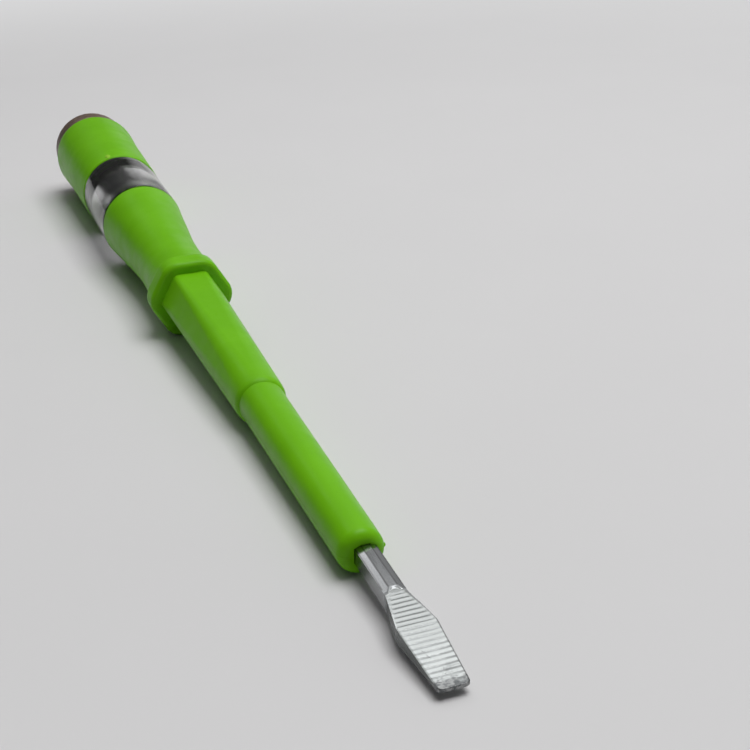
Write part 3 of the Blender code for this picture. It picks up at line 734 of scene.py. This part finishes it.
# %% Blade
TIP_SLICES = 6
SLICES_PER_RIDGE = 14
STEP_SLICES = 11
BOWED_SLICES = 12
BAR_SLICES = 20
press_end = PRESSED + ARC_STEP
bow_end = press_end + BOW_FADE
slices = [TIP_CORNER * (1 - math.cos(math.pi / 2 * step / TIP_SLICES)) for step in range(TIP_SLICES + 1)]
slices += list(np.arange(TIP_CORNER + 0.00008, PRESSED - 0.00002, RIDGE_PITCH / SLICES_PER_RIDGE))
slices += list(np.linspace(PRESSED, press_end, STEP_SLICES))
slices += list(np.linspace(press_end + 0.0001, bow_end, BOWED_SLICES))
slices += list(np.linspace(bow_end + 0.001, BLADE_END - 0.0003, BAR_SLICES)) + [BLADE_END]
blank = skin("blade", [bar_section(station) for station in slices], closed=False, sharp=14)
ring_weights = ([0.0] + [1.0] * (len(FACE_SHARES) - 2) + [0.0, 0.0, 0.0]) * 2
weights = ring_weights * len(slices) + [0.0, 0.0]
write_marks(blank, "face_weight", "POINT", weights)
rows = {"pitch": RIDGE_PITCH, "first_ridge": RIDGES_FROM, "last_ridge": RIDGES_FROM + RIDGE_COUNT * RIDGE_PITCH}
blade_mesh = through_tree("ridged_blade", blank, ridges, blade_steel, depth=RIDGE_DEPTH, **rows)
marks = {"pressed": [], "flank_shade": [], "step": []}
for polygon in blade_mesh.polygons:
    station = station_of(polygon.center.x)
    upright = abs(polygon.normal.z) > 0.75
    sideways = abs(polygon.normal.y) > 0.75
    across = (polygon.center.y - SHANK_OFFSET) / SHANK_HALF
    past_arc = station - PRESSED - ARC_REACH * (1 - across * across)
    marks["pressed"].append(1.0 if upright and past_arc < 0 else 0.0)
    # The sides get the painted-shade mark, fully near the tip and a little along the rest of the bar.
    marks["flank_shade"].append(1.0 if not upright and station < PRESSED - 0.0006 else 0.2 if sideways else 0.0)
    marks["step"].append(1.0 if -0.0001 < past_arc < ARC_STEP + 0.0001 else 0.0)
for name, values in marks.items():
    write_marks(blade_mesh, name, "FACE", values)
finish_piece("ridged_blade", blade_mesh, blade_steel, "handle", "plated_steel", "blade")

# %% [markdown]
# ## Insulating sleeve
#
# A plain tube of the same plastic, moulded over the bar. It is a little thinner at the front, where its edge is
# well rounded, and it fits the bar closely, so its mouth has the bar's own outline. A small burr stands on its
# parting line near the front.

# %% Insulating sleeve
SLEEVE_FRONT_RADIUS = 0.00262
SLEEVE_REAR_RADIUS = 0.0030
SLEEVE_FILLET = 0.0012
SLEEVE_ARC_STEPS = 12
SLEEVE_RINGS = 12
SPIGOT_RADIUS = 0.0025
BAR_FIT = 0.00003
MOUTH_FIT = 0.00005
SLEEVE_END = NOSE_FRONT + 0.0100


def bar_outline(station, clearance):
    """The bar's outline, a little larger, as points at the same angles as a circle's."""
    half = SHANK_HALF + clearance
    cut_reach = SHANK_HALF * SHANK_CUT_ACROSS + (SHANK_HALF - SHANK_CUT_ACROSS) * SHANK_CUT_UP
    cut_reach += clearance * math.hypot(SHANK_CUT_ACROSS, SHANK_CUT_UP)
    ring = []
    for angle in angles_of(ROUND_SEGMENTS):
        up, across = math.cos(angle), math.sin(angle)
        cut = (abs(up) * SHANK_CUT_ACROSS + abs(across) * SHANK_CUT_UP) / cut_reach
        radius = 1 / max(abs(up) / half, abs(across) / half, cut)
        ring.append(place(station, radius * up, radius * across + SHANK_OFFSET))
    return ring


rings = [
    circle(SLEEVE_FRONT + advance, SLEEVE_FRONT_RADIUS - inset)
    for inset, advance in quarter(SLEEVE_FILLET, rising=True, steps=SLEEVE_ARC_STEPS)
]
for station in np.linspace(SLEEVE_FRONT + 0.003, NOSE_FRONT - SEAM, SLEEVE_RINGS):
    share = (station - SLEEVE_FRONT) / (NOSE_FRONT - SLEEVE_FRONT)
    rings.append(circle(station, part_way(SLEEVE_FRONT_RADIUS, SLEEVE_REAR_RADIUS, share)))
rings += [
    circle(NOSE_FRONT - FINE_GAP, SLEEVE_REAR_RADIUS),
    circle(NOSE_FRONT - FINE_GAP, SPIGOT_RADIUS),
    circle(SLEEVE_END, SPIGOT_RADIUS),
    bar_outline(SLEEVE_END, BAR_FIT),
    bar_outline(SLEEVE_FRONT + 0.0002, BAR_FIT),
    bar_outline(SLEEVE_FRONT, MOUTH_FIT),
]
sleeve_mesh = skin("sleeve", rings, closed=True)
finish_piece("sleeve", sleeve_mesh, sleeve_green, "handle", "green_plastic", "insulating_sleeve")

# %% Burr on the parting line
burr_foot = place(SLEEVE_FRONT + 0.0014, -0.0002, 0.00256)
burr_mesh = dome("sleeve_burr", burr_foot, (0.25, 1.0, 0.0), (-1.5, 0.3, 0.0), 0.00026, 0.00036)
finish_piece("sleeve_burr", burr_mesh, sleeve_green, "handle", "green_plastic")

# %% [markdown]
# ## Handle
#
# The handle starts round at the step and turns into a hexagon at the collar. A polygon with round corners makes
# both: when the corner radius is as large as the distance to the flats, it is a circle, and as the corners shrink
# the flats appear. The same rule makes the anti-roll collar. The nose starts with a soft, stretched lip, and the
# collar's rear blends into the neck. Behind it the section is round again, and one smooth curve gives the waist and
# the swelling barrel.

# %% Handle sections
HANDLE_SEGMENTS = 192
NOSE_FRONT_RADIUS = 0.0034
NOSE_FRONT_FILLET = 0.00065
LIP_STRETCH = 1.8
NOSE_REAR_FLAT = 0.00422
NOSE_REAR_CORNER = 0.0009
COLLAR_FLAT = 0.00590
COLLAR_CORNER = 0.0030
COLLAR_THICKNESS = 0.0045
COLLAR_FRONT_FILLET = 0.0008
COLLAR_BLEND = 0.0013
NOSE_STEPS = 40
COLLAR_STEPS = 12
NECK_STEPS = 60
BARREL_RADIUS = 0.0070
BARREL_FILLET = 0.0006
SOCKET_RADIUS = 0.0054
SOCKET_DEPTH = 0.0080
LAMP_BORE = 0.00265
BAR_BORE = 0.00150
SPIGOT_FIT = 0.00015
NECK_PLACES = (0.0, 0.08, 0.20, 0.32, 0.44, 0.55, 0.68, 0.82, 0.92, 1.0)
NECK_SHARES = (0.80, 0.772, 0.750, 0.745, 0.765, 0.802, 0.86, 0.915, 0.96, 1.0)


def hexagon(station, flat, corner):
    half_sector = math.pi / 6
    corner_centre = (flat - corner) / math.cos(half_sector)
    tangent = half_sector - math.atan((flat - corner) * math.tan(half_sector) / flat)
    ring = []
    for angle in angles_of(HANDLE_SEGMENTS):
        from_flat = (angle + half_sector) % (2 * half_sector) - half_sector
        from_corner = half_sector - abs(from_flat)
        if from_corner < tangent:
            drop = corner_centre * math.sin(from_corner)
            radius = corner_centre * math.cos(from_corner) + math.sqrt(max(corner**2 - drop**2, 0.0))
        else:
            radius = flat / math.cos(from_flat)
        ring.append(place_round(station, radius, angle))
    return ring


def smooth_curve(places, values, share):
    """A smooth curve through chosen points."""
    index = int(min(max(np.searchsorted(places, share) - 1, 0), len(places) - 2))
    span = places[index + 1] - places[index]
    slopes = np.gradient(values, places)
    part = (share - places[index]) / span
    start = values[index] * (1 + 2 * part) * (1 - part) ** 2 + span * slopes[index] * part * (1 - part) ** 2
    end = values[index + 1] * part**2 * (3 - 2 * part) - span * slopes[index + 1] * part**2 * (1 - part)
    return start + end


print("hexagon and curve helpers ready")

# %% Handle
lip = quarter(NOSE_FRONT_FILLET, rising=True)[2:]
lip_start = lip[0][1]
rings = []
for inset, advance in lip:
    radius = NOSE_FRONT_RADIUS - inset
    rings.append(hexagon(NOSE_FRONT + LIP_STRETCH * (advance - lip_start), radius, radius))
lip_end = NOSE_FRONT + LIP_STRETCH * (lip[-1][1] - lip_start)
for share in steps_of(NOSE_STEPS)[1:]:
    flat = part_way(NOSE_FRONT_RADIUS, NOSE_REAR_FLAT, share)
    corner = part_way(NOSE_FRONT_RADIUS, NOSE_REAR_CORNER, share)
    rings.append(hexagon(part_way(lip_end, COLLAR_FRONT, share), flat, corner))
for inset, advance in quarter(COLLAR_FRONT_FILLET, rising=True):
    rings.append(hexagon(COLLAR_FRONT + advance, COLLAR_FLAT - inset, COLLAR_CORNER - inset))
collar_rear = COLLAR_FRONT + COLLAR_THICKNESS
neck_radius = BARREL_RADIUS * NECK_SHARES[0]
for share in steps_of(COLLAR_STEPS)[:-1]:
    eased = share * share * (3 - 2 * share)
    flat = part_way(COLLAR_FLAT, neck_radius, eased)
    corner = part_way(COLLAR_CORNER, neck_radius, eased)
    rings.append(hexagon(collar_rear - COLLAR_BLEND * (1 - share), flat, corner))
barrel_start = BARREL_END - BARREL_FILLET
for share in steps_of(NECK_STEPS):
    radius = BARREL_RADIUS * smooth_curve(NECK_PLACES, NECK_SHARES, share)
    rings.append(hexagon(part_way(collar_rear, barrel_start, share), radius, radius))
for inset, advance in quarter(BARREL_FILLET, rising=False)[1:]:
    rings.append(hexagon(barrel_start + advance, BARREL_RADIUS - inset, BARREL_RADIUS - inset))
for radius, start, end in (
    (SOCKET_RADIUS, BARREL_END, BARREL_END - SOCKET_DEPTH),
    (LAMP_BORE, BARREL_END - SOCKET_DEPTH, BLADE_END),
    (BAR_BORE, BLADE_END, SLEEVE_END + SEAM),
    (SPIGOT_RADIUS + SPIGOT_FIT, SLEEVE_END + SEAM, NOSE_FRONT),
):
    rings += [hexagon(start, radius, radius), hexagon(end, radius, radius)]
handle_mesh = skin("handle", rings, closed=True)
finish_piece("handle", handle_mesh, handle_green, "handle", "green_plastic", "handle_body")

# %% [markdown]
# ## Clear window
#
# A thick clear tube that sits between barrel and cap. Its front spigot is hidden in the barrel, and its rear
# spigot carries the thread that the cap screws on. The thread follows a rule, so a Geometry Nodes tree lifts the
# spigot's points by it: the crest's phase is the station in pitches less the angle in turns. The rear shoulder gets
# a second material, painted dark as shade at the joint.

# %% Thread tree
THREAD_PITCH = 0.0015
THREAD_DEPTH = 0.0004
THREAD_SHARPNESS = 1.3
THREAD_RUN_OUT = 0.0015


def thread_tree():
    g = GeometryTree("screw_thread", "Pitch", "Depth", "Tip X", "Axis Height")
    point = g.position()
    up = g.minus(point["Z"], g.given["Axis Height"])
    angle = g.math("DIVIDE", g.math("ARCTAN2", point["Y"], up), 2 * math.pi)
    turns = g.math("DIVIDE", g.minus(g.given["Tip X"], point["X"]), g.given["Pitch"])
    phase = g.times(g.minus(turns, angle), 2 * math.pi)
    crest = g.math("POWER", g.math("MULTIPLY_ADD", g.math("COSINE", phase), 0.5, 0.5), THREAD_SHARPNESS)
    rise = g.times(crest, g.weight("thread_weight"), g.given["Depth"])
    arm = g.add("ShaderNodeCombineXYZ", {"Y": point["Y"], "Z": up}).outputs[0]
    outward = g.add("ShaderNodeVectorMath", {0: arm}, operation="NORMALIZE").outputs[0]
    offset = g.add("ShaderNodeVectorMath", {0: outward, "Scale": rise}, operation="SCALE").outputs[0]
    return g.ended(g.moved(offset))


threads = thread_tree()
print("thread tree:", threads.name, "with a pitch of", THREAD_PITCH * 1000, "mm")

# %% Clear window
WINDOW_FRONT_RADIUS = 0.0070
WINDOW_REAR_RADIUS = 0.0072
WINDOW_EDGE = 0.00008
FRONT_SPIGOT_RADIUS = 0.0051
FRONT_SPIGOT_LENGTH = 0.0078
SPIGOT_ROOT = 0.0052
SPIGOT_EDGE = 0.0005
SHOULDER_DEPTH = 0.00009
SHOULDER_SLACK = 0.00001
spigot_end = WINDOW_REAR + 0.0090
spigot_start = WINDOW_FRONT - FRONT_SPIGOT_LENGTH
window_start = BARREL_END + FINE_GAP
window_corners = [
    (spigot_end, LAMP_BORE),
    (spigot_end, SPIGOT_ROOT, SPIGOT_EDGE),
    (WINDOW_REAR + 0.0006, SPIGOT_ROOT),
    (WINDOW_REAR, SPIGOT_ROOT),
    (WINDOW_REAR, WINDOW_REAR_RADIUS, WINDOW_EDGE),
    (window_start, WINDOW_FRONT_RADIUS, WINDOW_EDGE),
    (window_start, FRONT_SPIGOT_RADIUS),
    (spigot_start, FRONT_SPIGOT_RADIUS, SPIGOT_EDGE),
    (spigot_start, LAMP_BORE),
]
window_path = rounded(window_corners)
first = next(index for index, point in enumerate(window_path) if point.x < spigot_end - 0.0001 and point.y > 0.005)
thread_stations = np.arange(spigot_end - 0.0007, WINDOW_REAR + 0.0007, -THREAD_PITCH / 12)
threaded = [Vector((station, SPIGOT_ROOT)) for station in thread_stations]
window_path[first:first] = threaded
blank = skin("window", [circle(point.x, point.y) for point in window_path], closed=True)
weights = []
for point in window_path:
    run_out = min((spigot_end - SPIGOT_EDGE - point.x) / THREAD_RUN_OUT, 1.0) if point in threaded else 0.0
    weights += [max(run_out, 0.0)] * ROUND_SEGMENTS
write_marks(blank, "thread_weight", "POINT", weights)
window_mesh = through_tree("window", blank, threads, window_clear, pitch=THREAD_PITCH, depth=THREAD_DEPTH)
finish_piece("window", window_mesh, window_clear, "handle", "clear_plastic", "clear_window")
# The window's rear shoulder takes the joint's painted shade as a second material.
window_mesh.materials.append(shoulder_shade)
shade_painted_faces = 0
for face in window_mesh.polygons:
    if -SHOULDER_SLACK < face.center.x - (TIP_X - WINDOW_REAR) < SHOULDER_DEPTH:
        face.material_index = 1
        shade_painted_faces += 1
print("shade_painted shoulder faces:", shade_painted_faces)

# %% [markdown]
# ## Rear cap and touch plate
#
# The cap is a plain turned shape that flares towards its well-rounded rear edge. Only its front edge, its round
# and a small moulding pip catch the eye, and the pip's paler green is a painted highlight. The plate behind it is
# turned too, and a thin dark rim of it shows.

# %% Rear cap
CAP_REAR_RADIUS = 0.00825
CAP_REAR_FILLET = 0.0024
CAP_SWELL_SHARE = 0.62
CAP_SWELL_RADIUS = 0.0077
CAP_SWELL_FILLET = 0.10
CAP_FRONT_RADIUS = 0.0073
CAP_FRONT_FILLET = 0.0004
CAP_SOCKET = 0.0059
CAP_SOCKET_DEPTH = 0.0093
CAP_CHAMBER = 0.0034
CAP_END_WALL = 0.0022
STEM_HOLE = 0.0018
socket_end = CAP_FRONT + CAP_SOCKET_DEPTH
wall_front = CAP_REAR - CAP_END_WALL
cap_corners = [
    (CAP_REAR, STEM_HOLE),
    (CAP_REAR, CAP_REAR_RADIUS, CAP_REAR_FILLET),
    (CAP_FRONT + CAP_SWELL_SHARE * (CAP_REAR - CAP_FRONT), CAP_SWELL_RADIUS, CAP_SWELL_FILLET),
    (CAP_FRONT, CAP_FRONT_RADIUS, CAP_FRONT_FILLET),
    (CAP_FRONT, CAP_SOCKET),
    (socket_end, CAP_SOCKET),
    (socket_end, CAP_CHAMBER),
    (wall_front, CAP_CHAMBER),
    (wall_front, STEM_HOLE),
]
cap_mesh = turned("cap", cap_corners, segments=160)
finish_piece("cap", cap_mesh, handle_green, "cap", "green_plastic", "rear_cap")

# %% Moulding pip
PIP_ANGLE = math.radians(-14)
PIP_RADIUS = 0.00732
pip_out = (0.0, math.sin(PIP_ANGLE), math.cos(PIP_ANGLE))
pip_foot = place_round(CAP_FRONT + 0.0014, PIP_RADIUS, PIP_ANGLE)
pip_mesh = dome("cap_pip", pip_foot, pip_out, (2.2, 0.0, 0.0), 0.00048, 0.00016)
# The pip's paler green is a painted highlight.
finish_piece("cap_pip", pip_mesh, pale_green, "cap", "green_plastic")

# %% Touch plate
STEM_RADIUS = 0.0015
PLATE_RADIUS = 0.00755
STEM_TIP = wall_front - 0.0020
plate_corners = [
    (STEM_TIP, 0.0),
    (STEM_TIP, STEM_RADIUS, 0.0002),
    (CONTACT_FRONT, STEM_RADIUS),
    (CONTACT_FRONT, PLATE_RADIUS, 0.0003),
    (TOOL_LENGTH, PLATE_RADIUS, 0.0009),
    (TOOL_LENGTH, 0.0),
]
plate_mesh = turned("touch_plate", plate_corners, hollow=False)
finish_piece("touch_plate", plate_mesh, brown_metal, "cap", "brown_metal", "end_contact")

# %% [markdown]
# ## Spring
#
# The spring is a wire that follows a helix, which is a task for Geometry Nodes: a Spiral curve, a round profile
# swept along it, and named inputs for the sizes. Its front rests on the lamp and its rear on the seat that the cap
# carries.


# %% Spring tree
HELIX_RESOLUTION = 32
WIRE_SIDES = 10


def spring_tree():
    g = GeometryTree("wound_wire", "Turns", "Coil Radius", "Length", "Wire Radius")
    turns, coil, length, wire = (g.given[size] for size in ("Turns", "Coil Radius", "Length", "Wire Radius"))
    helix = {"Resolution": HELIX_RESOLUTION, "Rotations": turns, "Height": length}
    helix.update({"Start Radius": coil, "End Radius": coil})
    path = g.add("GeometryNodeCurveSpiral", helix).outputs["Curve"]
    profile = g.add("GeometryNodeCurvePrimitiveCircle", {"Resolution": WIRE_SIDES, "Radius": wire}).outputs["Curve"]
    sweep = g.add("GeometryNodeCurveToMesh", {"Curve": path, "Profile Curve": profile, "Fill Caps": True})
    return g.ended(g.add("GeometryNodeSetShadeSmooth", {"Geometry": sweep.outputs[0]}).outputs[0])


def laid_along_axis(mesh, station):
    """Turns a helix that stands on +Z so that it runs back along the tool's axis from a station."""
    along = Matrix(((0, 0, -1, 0), (0, 1, 0, 0), (1, 0, 0, 0), (0, 0, 0, 1)))
    mesh.transform(Matrix.Translation(place(station, 0.0, 0.0)) @ along)


wound = spring_tree()
print("spring tree:", wound.name, "with", WIRE_SIDES, "sides to the wire")

# %% Spring
SPRING_WIRE = 0.0004
SPRING_TURNS = 12.0
SPRING_RADIUS = 0.0020
SEAT_BOSS = 0.0015
SEAT_FRONT = station_of(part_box("spring_seat")[1][0]) + SEAT_BOSS
spring_front = WINDOW_REAR + SEAM + SPRING_WIRE / 2
spring_rear = SEAT_FRONT - SEAM - SPRING_WIRE / 2
coils = {"turns": SPRING_TURNS, "coil_radius": SPRING_RADIUS, "length": spring_rear - spring_front}
empty = bpy.data.meshes.new("empty")
spring_mesh = through_tree("spring", empty, wound, spring_wire, wire_radius=SPRING_WIRE / 2, **coils)
laid_along_axis(spring_mesh, spring_front)
spring = finish_piece("spring", spring_mesh, spring_wire, None, "spring_steel", "contact_spring")
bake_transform(spring)

# %% [markdown]
# ## Small parts inside
#
# The lamp, the resistor, the seat and the push-on ring already have their true turned shapes in the frame, so they
# stay as they are and only get finishes, on the slots of their objects.


# %% Finishes for the parts inside
def dress_node(name, material):
    node = bpy.data.objects[name]
    if not node.material_slots:
        node.data.materials.append(None)
    for holder in node.material_slots:
        holder.link = "OBJECT"
        holder.material = material


finishes = (
    (glass, "neon_glass"),
    (electrode_metal, "neon_front_cap", "neon_rear_cap", "neon_front_electrode", "neon_rear_electrode"),
    (resistor_lacquer, "resistor_body"),
    (nickel_plate, "resistor_front_cap", "resistor_rear_cap", "spring_seat"),
    (spring_wire, "contact_retainer"),
)
for finish, *inner_nodes in finishes:
    for inner_node in inner_nodes:
        dress_node(inner_node, finish)
    print(finish.name + ":", ", ".join(inner_nodes))

# %% [markdown]
# ## Floor
#
# The tool lies on a sheet of pale paper that isn't quite flat. It touches the cap's round and the collar's lower
# flat, and rises a little under the sleeve and the blade, so the shadow stays close along the whole tool. Far from
# the tool the camera sees it fade into the plain backdrop.

# %% Floor
PAPER_REACH = 3.0
PAPER_CLEAR = 0.00004
LEVEL_FROM = -0.1
FADE_START = 0.20
FADE_END = 0.46
BACKDROP = colour(0.685, 0.685, 0.69)
paper_points = (
    (CAP_REAR - 0.0020, AXIS_HEIGHT),
    (COLLAR_FRONT + 0.0030, COLLAR_FLAT + PAPER_CLEAR),
    (0.0800, 0.00480),
    (NOSE_FRONT, 0.00372),
    (SLEEVE_FRONT + 0.0100, 0.00290),
    (SLEEVE_FRONT, 0.00268),
    (0.0, 0.00105),
)


def slope(first, second):
    return (first[1] - second[1]) / (first[0] - second[0])


rear_slope, front_slope = slope(*paper_points[:2]), slope(*paper_points[-2:])
rear_drop = paper_points[0][1] + rear_slope * (PAPER_REACH - paper_points[0][0])
front_drop = paper_points[-1][1] + front_slope * LEVEL_FROM
paper_profile = [(PAPER_REACH, rear_drop), *paper_points, (LEVEL_FROM, front_drop), (-PAPER_REACH, front_drop)]
sheet = bmesh.new()
rows = []
for station, below in paper_profile:
    row = [Vector(place(station, -below, side)) for side in (-PAPER_REACH, PAPER_REACH)]
    rows.append([sheet.verts.new(point) for point in row])
for this, following in zip(rows, rows[1:]):
    sheet.faces.new((this[0], this[1], following[1], following[0]))
sheet.normal_update()
if sheet.faces[:][0].normal.z < 0:
    bmesh.ops.reverse_faces(sheet, faces=sheet.faces)
paper_mesh = bpy.data.meshes.new("floor")
sheet.to_mesh(paper_mesh)
sheet.free()
paper_mesh.shade_smooth()
floor = add_object("floor", paper_mesh)
paper = Nodes("floor_paper")
fibres = paper.mix(paper.noise(30.0, 2.0), colour(0.655, 0.650, 0.655), colour(0.675, 0.670, 0.675))
paper.to("Base Color", fibres)
paper.plain(Roughness=0.75, Specular_IOR_Level=0.2)
from_tool = paper.add("ShaderNodeVectorMath", {0: paper.space}, operation="LENGTH").outputs["Value"]
seen = paper.add("ShaderNodeLightPath").outputs["Is Camera Ray"]
far = paper.times(seen, paper.remap(from_tool, FADE_START, FADE_END))
haze = paper.add("ShaderNodeEmission", {"Color": BACKDROP}).outputs[0]
faded = paper.add("ShaderNodeMixShader", {0: far, 1: paper.shader.outputs[0], 2: haze}).outputs[0]
paper.feed(paper.tree.nodes["Material Output"].inputs["Surface"], faded)
paper_mesh.materials.append(paper.material)
print("paper slopes", round(math.degrees(rear_slope), 2), "and", round(math.degrees(front_slope), 2), "degrees")

# %% [markdown]
# ## Light
#
# The light is soft and comes from overhead and a little from the right, so the left side is shaded and the shadow
# falls there. The blade's flat face mirrors a second panel, high behind the tool, which is why it looks bright
# beside the darker bar, and a small panel does the same for one of the bar's cut corners. The surround is brightest
# low on the right and dim elsewhere, which keeps the green deep and the faces to the camera dark. The camera itself
# sees a plain backdrop.

# %% Surround
DOME_HIGH = 0.32
DOME_LOW = 0.22
DOME_BEHIND = 0.27
DOME_RIGHT_LOW = 2.3
DOME_RIGHT_HIGH = 1.15
DOME_LEFT = 0.30
DOME_FRONT = 0.26
world = bpy.data.worlds.new("surround")
bpy.context.scene.world = world
world.use_nodes = True
sky = Graph(world.node_tree)
to_x, to_y, to_z = sky.split(sky.add("ShaderNodeTexCoord").outputs["Generated"])
rise = sky.remap(to_z, 0.10, 0.60, DOME_LOW, DOME_HIGH)
behind = sky.remap(to_x, -0.85, -0.25, DOME_BEHIND, 1.0)
low_right = sky.remap(to_z, 0.12, 0.32, DOME_RIGHT_LOW, DOME_RIGHT_HIGH)
right = sky.times(sky.remap(to_y, 0.18, 0.29), low_right)
left = sky.remap(to_y, -0.60, 0.0, DOME_LEFT, 1.0)
front = sky.remap(to_x, 0.10, 0.75, 1.0, DOME_FRONT)
glow = sky.tree.nodes["Background"]
sky.feed(glow.inputs["Strength"], sky.times(rise, sky.larger(behind, right), left, front))
sky.feed(glow.inputs["Color"], colour(1.0, 1.0, 1.0))
backdrop = sky.add("ShaderNodeBackground", {"Color": BACKDROP}).outputs[0]
seen = sky.add("ShaderNodeLightPath").outputs["Is Camera Ray"]
choice = sky.add("ShaderNodeMixShader", {0: seen, 1: glow.outputs[0], 2: backdrop}).outputs[0]
sky.feed(sky.tree.nodes["World Output"].inputs["Surface"], choice)
print("surround from", DOME_LOW, "at the horizon to", DOME_HIGH, "overhead")


# %% Panels
def soft_panel(name, toward, distance, size, radiance):
    """A rectangular soft light, told by its direction, its distance and how bright it looks."""
    data = bpy.data.lights.new(name, "AREA")
    data.shape = "RECTANGLE"
    data.size, data.size_y = size
    data.energy = radiance * math.pi * size[0] * size[1]
    lamp = add_object(name, data)
    lamp.location = Vector(toward).normalized() * distance
    lamp.rotation_euler = lamp.location.to_track_quat("Z", "Y").to_euler()
    return lamp


key_panel = soft_panel("key_panel", (-0.02, 0.26, 0.95), 0.85, (0.56, 0.56), 5.75)
back_panel = soft_panel("back_panel", (-0.637, 0.090, 0.766), 1.0, (0.90, 0.40), 0.84)
edge_panel = soft_panel("edge_panel", (-0.790, -0.200, 0.560), 1.0, (0.22, 0.16), 1.0)
print("lights:", key_panel.name, back_panel.name, edge_panel.name)

# %% [markdown]
# ## Finish
#
# The picture is shown with the Standard view transform.

# %% Finish
bpy.context.scene.view_settings.view_transform = "Standard"
